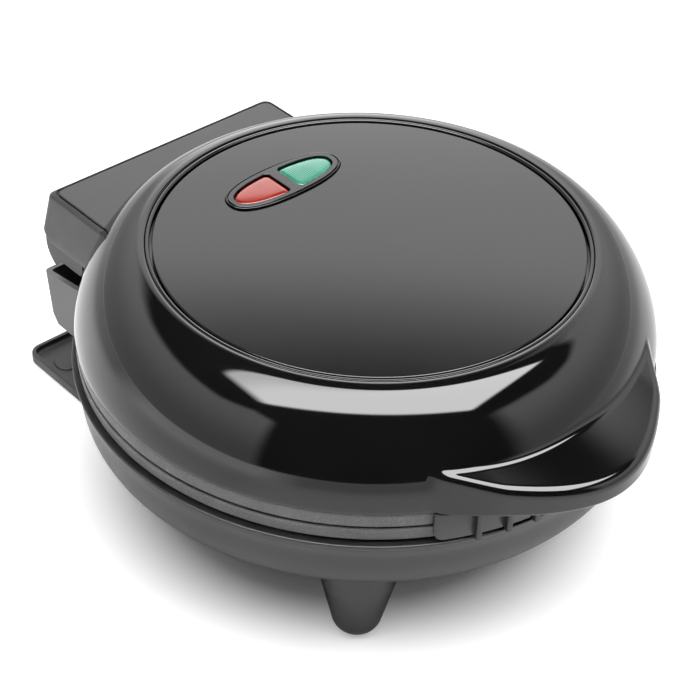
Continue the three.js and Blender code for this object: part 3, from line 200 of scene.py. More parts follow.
def make_studio():
    world = bpy.data.worlds.new("studio")
    world.use_nodes = True
    world.cycles.sampling_method = "NONE"
    scene.world = world
    wires = Wiring(world.node_tree)
    world.node_tree.nodes.clear()
    place = wires.add("ShaderNodeTexCoord")
    seen = studio_light(wires, place.outputs["Generated"])
    path = wires.add("ShaderNodeLightPath")
    mirror = wires.math("MAXIMUM", path.outputs["Is Glossy Ray"], path.outputs["Is Transmission Ray"])
    level = wires.product(seen, wires.ramp(mirror, 0, 1, DIFFUSE_SHARE, 1.0, smooth=False))
    mixed = wires.add("ShaderNodeMix", {"Factor": path.outputs["Is Camera Ray"], "A": level,
                                        "B": BACKDROP_LEVEL}, data_type="FLOAT")
    shader = wires.add("ShaderNodeBackground", {"Strength": mixed.outputs[0]})
    wires.add("ShaderNodeOutputWorld", {"Surface": shader.outputs[0]})


FLOOR_REACH = 3.0
FLOOR_COLOUR = (0.93, 0.93, 0.93, 1)
FLOOR_BRIGHTNESS = 4.0      # of the floor in a mirror
FAR_FLOOR = (0.3, 0.75)     # metres from the object
# Painted shadow: within this reach of the object, in metres, the floor's mirrored brightness fades out.
PAINTED_SHADOW_UNDER_OBJECT = (0.07, 0.125)


def mirrored_floor(wires, x, y, distance):
    """How bright the floor looks in a glossy surface, in each direction and at each distance, with a painted
    shadow close under the object.
    """
    around = bearing(wires, x, y)
    near = round_stops(
        wires, around, (-180, 0.42), (-112, 0.42), (-100, 0.36), (-70, 0.38), (-30, 0.5), (5, 0.33),
        (45, 0.28), (65, 0.23), (95, 0.35), (180, 0.42))
    beyond = round_stops(wires, around, (-118, 0.25), (-104, 0.6), (-60, 0.6), (-40, 0.25))
    far = wires.ramp(distance, *FAR_FLOOR)
    return wires.total(
        wires.product(near, FLOOR_BRIGHTNESS, wires.math("SUBTRACT", 1.0, far),
                      wires.ramp(distance, *PAINTED_SHADOW_UNDER_OBJECT)),
        wires.product(far, beyond, FLOOR_BRIGHTNESS))


def make_floor():
    """A wide pale floor that keeps the shadow and shows white to the camera, through painted light: a
    camera-only glow that grows with distance from the object and leaves a painted shadow close round it.
    """
    material = bpy.data.materials.new("studio_floor")
    material.use_nodes = True
    wires = Wiring(material.node_tree)
    material.node_tree.nodes.clear()
    path = wires.add("ShaderNodeLightPath")
    x, y, _ = wires.parted(wires.add("ShaderNodeTexCoord").outputs["Object"])
    distance = wires.reach(x, y)
    half = wires.product(mirrored_floor(wires, x, y, distance), 0.5)
    matt = wires.add("ShaderNodeBsdfDiffuse", {"Color": half})
    bright = wires.add("ShaderNodeEmission", {"Strength": half})
    reflected = wires.add("ShaderNodeAddShader", {0: matt.outputs[0], 1: bright.outputs[0]})
    # Painted light and painted shadow: the camera-only glow is nothing within 55 mm of the axis and 0.62
    # beyond 105 mm, deepening the shade near the object and whitening the floor farther out.
    lift = wires.stops(distance, [(0.055, 0.0), (0.07, 0.05), (0.083, 0.3), (0.095, 0.5), (0.105, 0.62)])
    plain = wires.add("ShaderNodeBsdfDiffuse", {"Color": FLOOR_COLOUR})
    glow = wires.add("ShaderNodeEmission", {
        "Color": (1, 1, 1, 1), "Strength": wires.product(path.outputs["Is Camera Ray"], lift)})
    lifted = wires.add("ShaderNodeAddShader", {0: plain.outputs[0], 1: glow.outputs[0]})
    either = wires.add("ShaderNodeMixShader", {
        0: path.outputs["Is Glossy Ray"], 1: lifted.outputs[0], 2: reflected.outputs[0]})
    wires.add("ShaderNodeOutputMaterial", {"Surface": either.outputs[0]})
    mesh = bpy.data.meshes.new("studio_floor")
    corners = [(side * FLOOR_REACH, end * FLOOR_REACH, 0)
               for side, end in ((-1, -1), (1, -1), (1, 1), (-1, 1))]
    mesh.from_pydata(corners, [], [(0, 1, 2, 3)])
    mesh.materials.append(material)
    floor = bpy.data.objects.new("studio_floor", mesh)
    scene.collection.objects.link(floor)


make_studio()
make_floor()


# ---------------------------------------------------------------- mesh helpers
def shape(name, points, faces):
    """A mesh object from corner points in millimetres, its doubles merged and its faces turned out."""
    mesh = bpy.data.meshes.new(name)
    mesh.from_pydata([(x * MM, y * MM + AXIS_Y, z * MM) for x, y, z in points], [], faces)
    work = bmesh.new()
    work.from_mesh(mesh)
    bmesh.ops.remove_doubles(work, verts=work.verts, dist=1e-6)
    bmesh.ops.recalc_face_normals(work, faces=work.faces)
    work.to_mesh(mesh)
    work.free()
    obj = bpy.data.objects.new(name, mesh)
    scene.collection.objects.link(obj)
    return obj


def turned(name, profile, steps, middle=(0.0, 0.0)):
    """A closed profile of (radius, height) turned about an upright axis."""
    points, rings = [], []
    for radius, z in profile:
        count = 1 if radius < 1e-6 else steps
        rings.append(range(len(points), len(points) + count))
        for i in range(count):
            angle = TURN * i / steps
            points.append((middle[0] + radius * math.cos(angle),
                           middle[1] + radius * math.sin(angle), z))
    faces = []
    for low, high in zip(rings, rings[1:] + rings[:1]):
        if len(low) == len(high) == 1:
            continue
        for i in range(steps):
            j = (i + 1) % steps
            corners = [low[i % len(low)], high[i % len(high)], high[j % len(high)], low[j % len(low)]]
            faces.append(tuple(dict.fromkeys(corners)))
    return shape(name, points, faces)


def lofted(name, sections):
    """Closed sections of equally many points, joined in turn and capped at both ends."""
    size = len(sections[0])
    points = [point for section in sections for point in section]
    faces = [tuple(range(size)), tuple(range(len(points) - size, len(points)))]
    for k in range(len(sections) - 1):
        for i in range(size):
            j = (i + 1) % size
            faces.append((k * size + i, k * size + j, (k + 1) * size + j, (k + 1) * size + i))
    return shape(name, points, faces)


def rounded(outline, radii, steps):
    """A flat outline with each corner rounded to its own radius."""
    result = []
    count = len(outline)
    for i, corner in enumerate(outline):
        radius = radii[i] if isinstance(radii, (list, tuple)) else radii
        here = Vector(corner)
        before = (Vector(outline[i - 1]) - here).normalized()
        after = (Vector(outline[(i + 1) % count]) - here).normalized()
        spread = before.angle(after) / 2
        if radius <= 0 or spread > math.pi / 2 - 0.01:
            result.append(tuple(here))
            continue
        reach = radius / math.tan(spread)
        middle = here + (before + after).normalized() * (radius / math.sin(spread))
        start, end = here + before * reach, here + after * reach
        first = math.atan2(*(start - middle).yx)
        sweep = (math.atan2(*(end - middle).yx) - first + math.pi) % TURN - math.pi
        for k in range(steps + 1):
            angle = first + sweep * k / steps
            result.append((middle.x + radius * math.cos(angle), middle.y + radius * math.sin(angle)))
    return result


def stacked(name, rows):
    """A body from level rectangles with rounded corners: (half width, front, rear, corner, z) each."""
    sections = []
    for half, front, rear, corner, z in rows:
        outline = rounded([(-half, front), (half, front), (half, rear), (-half, rear)], corner, 8)
        sections.append([(x, y, z) for x, y in outline])
    return lofted(name, sections)


def across(name, outline, ends, edge=0.0):
    """An outline of (y, z) drawn along x, with a small rounding at both ends where edge is given."""
    start, end = sorted(ends)
    if not edge:
        return lofted(name, [[(x, y, z) for y, z in outline] for x in (start, end)])
    middle = Vector((sum(y for y, z in outline), sum(z for y, z in outline))) / len(outline)
    size = max((Vector(point) - middle).length for point in outline)
    sections = []
    for x, inset in ((start, edge), (start + edge * 0.3, edge * 0.3), (start + edge, 0),
                     (end - edge, 0), (end - edge * 0.3, edge * 0.3), (end, edge)):
        share = 1 - inset / size
        sections.append([(x, middle.x + (y - middle.x) * share, middle.y + (z - middle.y) * share)
                         for y, z in outline])
    return lofted(name, sections)


def settled(obj):
    """The object with its modifiers made into its mesh."""
    bpy.context.view_layer.update()
    evaluated = obj.evaluated_get(bpy.context.evaluated_depsgraph_get())
    mesh = bpy.data.meshes.new_from_object(evaluated)
    obj.modifiers.clear()
    old, obj.data = obj.data, mesh
    bpy.data.meshes.remove(old)
    mesh.name = obj.name
    return obj


def combined(obj, operation, others):
    """The object after one boolean step with each of the others, which are used up."""
    for other in others:
        modifier = obj.modifiers.new("shape", "BOOLEAN")
        modifier.operation = operation
        modifier.solver = "EXACT"
        modifier.object = other
        settled(obj)
        bpy.data.objects.remove(other, do_unlink=True)
    return obj


def cut(obj, *others):
    return combined(obj, "DIFFERENCE", others)


def fused(obj, *others):
    return combined(obj, "UNION", others)


def gathered(obj, *others):
    """Closed shells kept as they are, in one object."""
    work = bmesh.new()
    for part in (obj, *others):
        work.from_mesh(part.data)
    work.to_mesh(obj.data)
    work.free()
    for other in others:
        bpy.data.objects.remove(other, do_unlink=True)
    return obj


def eased(obj, width):
    """Rounds the sharp edges by a small width in millimetres."""
    modifier = obj.modifiers.new("edges", "BEVEL")
    modifier.width = width * MM
    modifier.segments = 2
    modifier.limit_method = "ANGLE"
    modifier.angle_limit = math.radians(40)
    settled(obj)


def dressed(obj, material, body, *nodes, slot, crease=40, weigh=False):
    """Gives a piece its finish and its body, and hides the CAD nodes that it stands for.

    Edges sharper than crease degrees stay sharp; weigh evens the shading beside them; slot is not used.
    """
    obj.data.materials.clear()
    obj.data.materials.append(material)
    for face in obj.data.polygons:
        face.use_smooth = True
        face.material_index = 0
    obj.data.set_sharp_from_angle(angle=math.radians(crease))
    if weigh:
        modifier = obj.modifiers.new("normals", "WEIGHTED_NORMAL")
        modifier.keep_sharp = True
        settled(obj)
    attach(obj, body)
    if nodes:
        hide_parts(*nodes)


# ---------------------------------------------------------------- finishes
def new_finish(name, **constants):
    """An empty finish with its fixed values set on the shader's own sockets."""
    material = bpy.data.materials.new(name)
    material.use_nodes = True
    shader = material.node_tree.nodes["Principled BSDF"]
    for key, value in constants.items():
        shader.inputs[key.replace("_", " ")].default_value = value
    wires = Wiring(material.node_tree)
    place = wires.add("ShaderNodeTexCoord").outputs["Object"]
    return material, shader, wires, place


def grain(wires, place, size, detail=3.0, roughness=0.55, stretch=None):
    """Fine noise whose blotches are about size millimetres wide."""
    if stretch:
        place = wires.add("ShaderNodeMapping", {"Scale": stretch, "Vector": place}).outputs[0]
    noise = wires.add("ShaderNodeTexNoise", {
        "Scale": 1000 / size, "Detail": detail, "Roughness": roughness, "Vector": place})
    return noise.outputs["Fac"]


def bumped(wires, shader, height, depth):
    """Raises the surface by height times depth millimetres."""
    bump = wires.add("ShaderNodeBump", {"Distance": depth * MM, "Strength": 1.0, "Height": height})
    wires.feed(shader.inputs["Normal"], bump.outputs[0])


def moulding(name, dark, light, rough, size, depth, blotch=9.0):
    """Moulded plastic: fine grain in its surface, faint drifts in its colour and its shine."""
    material, shader, wires, place = new_finish(name, IOR=1.5)
    drift = grain(wires, place, blotch)
    fine = grain(wires, place, size, 2.0)
    colour = wires.stops(drift, [(0.3, dark), (0.7, light)])
    wires.feed(shader.inputs["Base Color"], colour)
    shine = wires.total(wires.ramp(drift, 0.3, 0.7, *rough), wires.product(fine, rough[1] * 0.12))
    wires.feed(shader.inputs["Roughness"], shine)
    bumped(wires, shader, fine, depth)
    return material


def metal(name, dark, light, rough, size, depth, stretch=(1, 1, 1)):
    """Worked metal: lines or mottle that run with the way it was made."""
    material, shader, wires, place = new_finish(name, Metallic=1.0)
    lines = grain(wires, place, size, 4.0, 0.6, stretch)
    drift = grain(wires, place, 7.0)
    mixed = wires.total(wires.product(lines, 0.6), wires.product(drift, 0.4))
    wires.feed(shader.inputs["Base Color"], wires.stops(mixed, [(0.35, dark), (0.65, light)]))
    wires.feed(shader.inputs["Roughness"], wires.ramp(mixed, 0.35, 0.65, *rough))
    bumped(wires, shader, lines, depth)
    return material


gloss = moulding("gloss_black_moulding", (0.005, 0.005, 0.0055), (0.008, 0.008, 0.0085),
                 (0.035, 0.05), 2.5, 0.0003, blotch=40)
panel_gloss = moulding("polished_black_panel", (0.006, 0.006, 0.0065), (0.009, 0.009, 0.0095),
                       (0.05, 0.07), 3.0, 0.0002, blotch=40)
satin = moulding("satin_black_moulding", (0.016, 0.016, 0.017), (0.022, 0.022, 0.0235),
                 (0.34, 0.4), 0.35, 0.012)
grained = moulding("grained_black_moulding", (0.028, 0.028, 0.029), (0.036, 0.036, 0.0375),
                   (0.4, 0.47), 0.3, 0.02)
frame_black = moulding("smooth_black_frame", (0.008, 0.008, 0.009), (0.013, 0.013, 0.014),
                       (0.12, 0.2), 0.5, 0.002)
# Painted light: a lighter copy of the grained plastic, standing for the light that the housing's side
# catches off the floor.
painted_light_grained = moulding("painted_lit_black_moulding", (0.1, 0.1, 0.103), (0.12, 0.12, 0.124),
                        (0.36, 0.42), 0.3, 0.02)
dull = moulding("dull_black_moulding", (0.008, 0.008, 0.0085), (0.012, 0.012, 0.0125),
                (0.42, 0.5), 0.3, 0.015)
foot_satin = moulding("foot_black_moulding", (0.008, 0.008, 0.0085), (0.012, 0.012, 0.0125),
                      (0.3, 0.36), 0.35, 0.012)
rubber = moulding("soft_black_rubber", (0.02, 0.02, 0.02), (0.032, 0.031, 0.03),
                  (0.7, 0.82), 0.25, 0.03)
cord_skin = moulding("black_cord_skin", (0.014, 0.014, 0.014), (0.02, 0.02, 0.02),
                     (0.5, 0.6), 0.4, 0.01)
ceramic = moulding("white_ceramic", (0.62, 0.6, 0.55), (0.72, 0.7, 0.65), (0.45, 0.6), 0.5, 0.02)
sleeving = moulding("woven_glass_sleeving", (0.6, 0.58, 0.5), (0.72, 0.7, 0.63),
                    (0.75, 0.85), 0.35, 0.08)
wire_skin = moulding("red_brown_wire_skin", (0.16, 0.05, 0.03), (0.22, 0.07, 0.045),
                     (0.45, 0.55), 0.5, 0.01)
bulb = moulding("clear_lamp_glass", (0.75, 0.76, 0.77), (0.85, 0.86, 0.87), (0.03, 0.06), 2, 0.0005)
steel = metal("zinc_plated_steel", (0.46, 0.46, 0.47), (0.6, 0.6, 0.61), (0.24, 0.36), 0.25, 0.004)
sheath = metal("heat_tinted_sheath", (0.2, 0.17, 0.14), (0.34, 0.31, 0.28), (0.36, 0.5), 0.6, 0.01)
tin = metal("rolled_aluminium_sheet", (0.7, 0.7, 0.71), (0.8, 0.8, 0.81), (0.22, 0.34), 0.3, 0.004,
            (0.05, 1, 1))

PLATE_EDGE = (96.9 * MM, 97.5 * MM)     # where a plate's face ends and its paler side starts


def make_coating():
    """Dark non-stick coating on a cast plate, with its fine pale speckle and orange-peel surface."""
    material, shader, wires, place = new_finish("speckled_non_stick_coating", IOR=1.5)
    peel = grain(wires, place, 0.6, 3.0, 0.7)
    speckle = grain(wires, place, 0.28, 2.0, 0.8)
    spots = wires.ramp(speckle, 0.57, 0.68)
    drift = grain(wires, place, 12)
    x, y, _ = wires.parted(place)
    edge = wires.ramp(wires.reach(x, wires.math("SUBTRACT", y, AXIS_Y)), *PLATE_EDGE, 1.0, 2.6)
    level = wires.product(wires.total(wires.ramp(drift, 0.3, 0.7, 0.05, 0.064),
                                      wires.product(spots, 0.1)), edge)
    grey = wires.add("ShaderNodeCombineColor", {0: level, 1: level, 2: level})
    wires.feed(shader.inputs["Base Color"], grey.outputs[0])
    wires.feed(shader.inputs["Roughness"], wires.ramp(peel, 0.3, 0.7, 0.38, 0.56))
    bumped(wires, shader, wires.total(peel, wires.product(spots, 0.3)), 0.05)
    return material


LENS_LINES = 400            # the wave scale of the lines moulded in the lenses


def make_lens(name, deep, bright):
    """Coloured clear lens with fine lines moulded under its face."""
    material, shader, wires, place = new_finish(name, IOR=1.49, Coat_Weight=0.1, Coat_Roughness=0.05)
    wave = wires.add("ShaderNodeTexWave", {"Scale": LENS_LINES, "Distortion": 0.4, "Vector": place},
                     bands_direction="X")
    glow = grain(wires, place, 6, 1.0)
    mixed = wires.total(wires.product(wave.outputs["Fac"], 0.55), wires.product(glow, 0.45))
    wires.feed(shader.inputs["Base Color"], wires.stops(mixed, [(0.25, deep), (0.75, bright)]))
    wires.feed(shader.inputs["Roughness"], wires.ramp(wave.outputs["Fac"], 0, 1, 0.08, 0.16))
    bumped(wires, shader, wave.outputs["Fac"], 0.01)
    return material


coating = make_coating()
red_clear = make_lens("red_lens_plastic", (0.36, 0.012, 0.004), (0.56, 0.04, 0.012))
green_clear = make_lens("green_lens_plastic", (0.02, 0.3, 0.19), (0.12, 0.52, 0.37))


# ---------------------------------------------------------------- lid ring and its handle
LID_RIM = (98.4, 68.6)      # the rim's radius and height
DOME_RISE = 31.8
DOME_TOP = 76.0             # the dome's radius at its crown
LID_WALL = 2.5
ROOF_UNDERSIDE = 92.3


def dome(turn, wall=0.0):
    """A point of the dome's outline: turn 0 at the rim and 1 at the crown."""
    angle = turn * math.pi / 2
    reach, rise = LID_RIM[0] - DOME_TOP - wall, DOME_RISE - wall
    return (DOME_TOP + reach * math.cos(angle) ** 1.25, LID_RIM[1] + rise * math.sin(angle) ** 1.25)


def dome_line(x, z):
    """The dome's surface at x and z, as its distance behind the axis."""
    share = min(max((z - LID_RIM[1]) / DOME_RISE, 0), 1)
    radius = DOME_TOP + (LID_RIM[0] - DOME_TOP) * math.cos(math.asin(share ** 0.8)) ** 1.25
    return -math.sqrt(max(radius ** 2 - x * x, 1.0))


def make_lid_ring():
    """The dome with its edge, the fine groove and the seat round the panel, as one turned wall."""
    edge = [(98.05, 68.6), (98.28, 68.68), (98.38, 68.9)]
    outside = [dome(i / 56) for i in range(2, 57)]
    groove = [(75.0, 100.4), (74.3, 100.39), (74.12, 100.32), (74.0, 99.95), (73.92, 99.7), (73.8, 99.95),
              (73.7, 100.3), (73.55, 100.37), (73.0, 100.37), (72.7, 100.3), (72.52, 100.1),
              (72.44, 99.8), (72.4, 99.2), (72.4, 96.7)]
    seat = [(66.4, 96.7), (66.4, ROOF_UNDERSIDE), (85.1, ROOF_UNDERSIDE)]
    inside = [dome(i / 40, LID_WALL) for i in range(40, 0, -1)]
    inside = [point for point in inside if point[1] < ROOF_UNDERSIDE]
    return turned("lid_ring", edge + outside + groove + seat + inside + [(95.9, LID_RIM[1])], 360)


HANDLE_FRONT = LID_RIM[0] + 17.4
HANDLE_BOW = 57.9           # how blunt the handle is in plan
HANDLE_SPREAD, SPREAD_SQUARED = 1.312, 1.7213
HANDLE_HALF = 60.5          # half its width, out to where its tips end in the dome
TIP_RADIUS = 97.6
CREST_MIDDLE, CREST_LIFT = 76.8, 5.9
RIM_ROUND = 3.7
SCOOP_SLOPE = math.radians(12.5)
SCOOP_REACH = 45
RIM_FILLET = 1.7
SCOOP_END = 87.5            # how high up the dome the scoop's section is carried
HOLLOW_HALF, HANDLE_WALL = 37.3, 2.2


def ease(value, start, end):
    """0 up to start, 1 from end on, and a smooth rise between them."""
    share = min(max((value - start) / (end - start), 0), 1)
    return share * share * (3 - 2 * share)


def stations(half, count):
    """Places from -half to half, closest together at both ends."""
    return [-half * math.cos(math.pi * i / count) for i in range(count + 1)]


def handle_outline(x):
    """How far forward the handle's wall stands at x, in plan."""
    return math.hypot(HANDLE_BOW, HANDLE_SPREAD * x) - HANDLE_BOW - HANDLE_FRONT


def rim_line(x, outer, lean):
    """The handle's face, rounded rim and scoop at x, as rows of (y, z)."""
    floor = LID_RIM[1]
    crest = CREST_MIDDLE + CREST_LIFT * (abs(x) / 50) ** 2
    plan_slope = SPREAD_SQUARED * x / math.hypot(HANDLE_BOW, HANDLE_SPREAD * x)
    facing = 1 / math.hypot(1, plan_slope)
    start = math.atan2(crest - RIM_ROUND - floor, lean)
    y, z = outer + lean, crest - RIM_ROUND * (1 - math.cos(start))
    rows = [(outer - lean * 0.2, floor - 0.2 * (z - floor)), (y, z)]
    for k in range(1, 25):
        slope = start + (SCOOP_SLOPE - start) * k / 24
        rows.append((y + RIM_ROUND * (math.sin(start) - math.sin(slope)) / facing,
                     z + RIM_ROUND * (math.cos(slope) - math.cos(start))))
    y, z = rows[-1]
    rows.append((y + SCOOP_REACH, z + SCOOP_REACH * math.tan(SCOOP_SLOPE) * facing))
    return np.array(rows)


def tilted(rows):
    """Rows of (y, z) on axes turned by 45 degrees, on which neither the rim nor the dome folds back."""
    return np.stack([rows[:, 0] + rows[:, 1], rows[:, 1] - rows[:, 0]]) / math.sqrt(2)


def handle_rows(x):
    """One station across the handle: underside, face, rim, scoop and the fillet up to the dome."""
    aside, floor = abs(x), LID_RIM[1]
    merge = ease(aside, 46.5, 56.0)
    outer = handle_outline(x)
    outer += (-math.sqrt(TIP_RADIUS ** 2 - x * x) - outer) * merge
    lean = 4.6 * ease(aside, 34, 50) + 1.5 * merge
    rim = tilted(rim_line(x, outer, lean))
    heights = np.linspace(floor + 0.3, 96, 140)
    shell = tilted(np.array([(dome_line(x, height), height) for height in heights]))
    first = (outer + 0.03 * lean + floor + 0.5) / math.sqrt(2)
    last = (dome_line(x, SCOOP_END) + SCOOP_END) / math.sqrt(2)
    places = np.linspace(first, last, 96)
    below = np.interp(places, *rim)
    above = np.interp(places, *shell)
    above = above - np.clip(shell[0, 0] - places, 0, None) * 3
    below = below + (above - below) * ease(aside, 48, 60)
    over = above - below
    fillet = RIM_FILLET * (1 - ease(aside, 48, 54)) + 0.04
    line = np.maximum(below, above) + np.clip(1 - np.abs(over) / fillet, 0, None) ** 2 * fillet / 4
    # Past the fillet the section dips just under the dome, so that the two skins don't share a surface.
    line -= np.minimum((np.clip(over - fillet, 0, None) * 0.35) ** 2, 0.5) + 0.06 * ease(aside, 57, 60)
    rows = [(outer + 0.5, floor), (outer + 0.17, floor + 0.12)]
    rows += [((u - w) / math.sqrt(2), (u + w) / math.sqrt(2)) for u, w in zip(places, line)]
    back = rows[-1][0] + 1.2
    return rows + [(back, floor + 6), (back, floor)]


def make_handle():
    body = lofted("handle", [[(x, y, z) for y, z in handle_rows(x)] for x in stations(HANDLE_HALF, 180)])
    hollow = []
    for x in stations(HOLLOW_HALF, 40):
        outer = HANDLE_WALL + handle_outline(x)
        inner = -math.sqrt((LID_RIM[0] + 0.2) ** 2 - x * x)
        share = (x / 50.5) ** 2
        low, high = LID_RIM[1] - 1, LID_RIM[1] + 3.0 + 6.0 * share
        corners = [(outer, low), (outer, high), (inner, high + 3.4 - 2 * share), (inner, low)]
        hollow.append([(x, y, z) for y, z in rounded(corners, [0, 0.8, 0.8, 0], 5)])
    return cut(body, lofted("handle_hollow", hollow))


def make_lid():
    lid = gathered(make_lid_ring(), make_handle())
    dressed(lid, gloss, "lid", "lid_shell", slot="gloss_black", crease=50)


# ---------------------------------------------------------------- lid panel and indicator lights
LIGHTS_Y = 43.7             # the middle of the two lights
OVAL_POWER = 2.4
PANEL_RADIUS, PANEL_TOP, PANEL_LOW = 71.6, 100.0, 97.0
PANEL_OPENING, FRAME_HALF = (24.0, 9.55), (23.7, 9.25)
LENS_HALF, LENS_BAR = (20.9, 6.7), 1.9


def oval(half_x, half_y, z, inset=0.0):
    """A squared-off ellipse about the lights, drawn in by inset."""
    points = []
    for i in range(96):
        c, s = math.cos(TURN * i / 96), math.sin(TURN * i / 96)
        x = (half_x - inset) * math.copysign(abs(c) ** (2 / OVAL_POWER), c)
        y = (half_y - inset) * math.copysign(abs(s) ** (2 / OVAL_POWER), s)
        points.append((x, LIGHTS_Y + y, z))
    return points


def make_panel():
    edge = [(0.4, PANEL_LOW), (0, PANEL_LOW + 0.4), (0, PANEL_TOP - 0.45), (0.06, PANEL_TOP - 0.2),
            (0.2, PANEL_TOP - 0.06)] + [(inset, PANEL_TOP) for inset in (0.42, 0.5, 0.6, 3)]
    profile = [(0, PANEL_LOW)] + [(PANEL_RADIUS - inset, z) for inset, z in edge] + [(0, PANEL_TOP)]
    panel = turned("top_panel", profile, 360)
    opening = lofted("panel_opening", [oval(*PANEL_OPENING, z) for z in (PANEL_LOW - 1, PANEL_TOP + 1)])
    dressed(cut(panel, opening), panel_gloss, "lid", "lid_panel", slot="panel_black")


def lens_outline(side, inset, z):
    """One rounded half of the oval window, beside the bar that parts the two lights."""
    half_x, half_y, bar = LENS_HALF[0] - inset, LENS_HALF[1] - inset, LENS_BAR + inset
    corner = max(1.8 - inset * 0.5, 0.4)
    limit = math.acos(((bar + corner) / half_x) ** (OVAL_POWER / 2))
    places = [bar + corner * (1 - math.cos(math.pi / 2 * k / 8)) for k in range(9)]
    places += [half_x * math.cos(limit * (1 - k / 22)) ** (2 / OVAL_POWER) for k in range(1, 23)]
    upper = []
    for x in places:
        y = half_y * max(1 - (x / half_x) ** OVAL_POWER, 0) ** (1 / OVAL_POWER)
        if x < bar + corner:
            y -= corner * (1 - math.sqrt(max(1 - ((corner - x + bar) / corner) ** 2, 0)))
        upper.append((x, y))
    flat = upper + [(x, -y) for x, y in reversed(upper[:-1])]
    return [(side * x, LIGHTS_Y + y, z) for x, y in flat]


def make_bezel():
    """The lights' frame with a fine line round it, and the two lenses set in it."""
    rows = ((1.5, 94.0), (0.0, 100.5), (0.04, 100.66), (0.12, 100.72), (0.26, 100.72), (0.34, 100.66),
            (0.4, 99.9), (0.76, 99.9), (0.84, 100.82), (0.94, 100.9), (1.3, 100.9))
    body = lofted("indicator_frame", [oval(*FRAME_HALF, z, inset) for inset, z in rows])
    for side in (-1, 1):
        window = [lens_outline(side, inset, z) for inset, z in ((0, 93.0), (0, 100.75), (-0.3, 101.1))]
        body = cut(body, lofted("window", window))
    dressed(body, frame_black, "lid", "light_bezel", slot="bezel_black", crease=30)
    for side, name, material, node in ((-1, "red_window", red_clear, "red_lens"),
                                       (1, "green_window", green_clear, "green_lens")):
        low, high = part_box(node)
        bottom, top = low.z / MM, high.z / MM
        steps = [(1.0, bottom), (0.5, bottom + 0.4), (0.42, top - 0.9), (0.5, top - 0.5),
                 (0.8, top - 0.2), (1.3, top - 0.06), (2.0, top)]
        lens = lofted(name, [lens_outline(side, inset, z) for inset, z in steps])
        dressed(lens, material, "lid", node, slot=node, crease=35)


make_lid()
make_panel()
make_bezel()


# ---------------------------------------------------------------- base bowl and feet
BOWL_SHOULDER, BOWL_BOTTOM = 53.8, 30.9
BOWL_WALL = 2.5
FEET = {"left": (-53.88, -57.78), "right": (53.88, -57.78)}
TOE_FLAT, TOE_ROUND = (1.1, 0.03), (7.4, 7.2)
LEG_LOW, LEG_HIGH, LEG_TOP = (8.24, 5.35), (12.5, 24.0), 33.2


def bowl_curve(offset, count):
    """The bowl's side from its wall down to its flat bottom, moved out by offset."""
    points = []
    for i in range(count + 1):
        angle = math.pi / 2 * i / count
        radius = 63.0 + (35.0 + offset) * math.cos(angle) ** 0.5
        z = BOWL_SHOULDER - (22.9 + offset) * math.sin(angle) ** 0.5
        if offset == 0:
            # Only the outside flares out towards the rim.
            radius += 1.85 * math.exp(-(56.7 - z) / 2.6) * (1 - i / count)
        points.append((radius, z))
    return points


def make_bowl():
    rim = [(99.0, 56.62), (99.3, 56.7), (99.6, 56.66), (99.82, 56.5), (99.88, 56.25), (99.86, 55.9),
           (99.72, 55.5), (99.4, 54.9)]
    outside = [point for point in bowl_curve(0, 60) if point[1] < 54.6]
    inside = [point for point in reversed(bowl_curve(-BOWL_WALL, 36)) if point[0] > 1]
    bottom = [(0, BOWL_BOTTOM), (0, BOWL_BOTTOM + BOWL_WALL)]
    bowl = turned("base_bowl", rim + outside + bottom + inside + [(95.5, 56.3), (95.8, 56.7)], 300)
    dressed(bowl, satin, "base", "base_shell", slot="satin_black", crease=45)


def make_foot(side, place):
    """A tapering leg with a rounded toe, straight where it goes up into the bowl."""
    profile = [(0, 0.0), (0.7, 0.0), TOE_FLAT]
    for k in range(1, 13):
        angle = math.pi / 2 * k / 12 * 0.83
        profile.append((TOE_FLAT[0] + TOE_ROUND[0] * math.sin(angle),
                        TOE_FLAT[1] + TOE_ROUND[1] * (1 - math.cos(angle))))
    profile += [(LEG_LOW[0] + 4.26 * (k / 16), LEG_LOW[1] + 18.65 * (k / 16)) for k in range(1, 17)]
    profile += [(LEG_HIGH[0], LEG_HIGH[1] + 9.2 * (k / 8)) for k in range(1, 9)] + [(0, LEG_TOP)]
    foot = turned("front_leg_" + side, profile, 96, place)
    dressed(foot, foot_satin, "base", "front_foot_" + side, slot="satin_black", crease=50)


# ---------------------------------------------------------------- hinge cover, housing and cord wrap
HINGE_Y, HINGE_Z = 107.0, 58.0
PIN_HOLE = 2.6
SIDES = (-1, 1)


def arc(radius, start, end, steps):
    """Points (y, z) about the hinge axis, from start to end degrees."""
    angles = [math.radians(start + (end - start) * i / steps) for i in range(steps + 1)]
    return [(HINGE_Y + radius * math.cos(angle), HINGE_Z + radius * math.sin(angle)) for angle in angles]


COVER_FRONT, COVER_REAR, COVER_CORNER = 78.0, 118.0, 3.0
COVER_BEND = 63.3           # the height above which its back leans forward
COVER_LEAN = (118.0 - 112.9) / (81.5 - 63.3)
STRAP_OUTER, STRAP_WALL = 10.6, 2.4
OUTER_KNUCKLE, INNER_KNUCKLE = (41.6, 49.9), (30.0, 35.6)


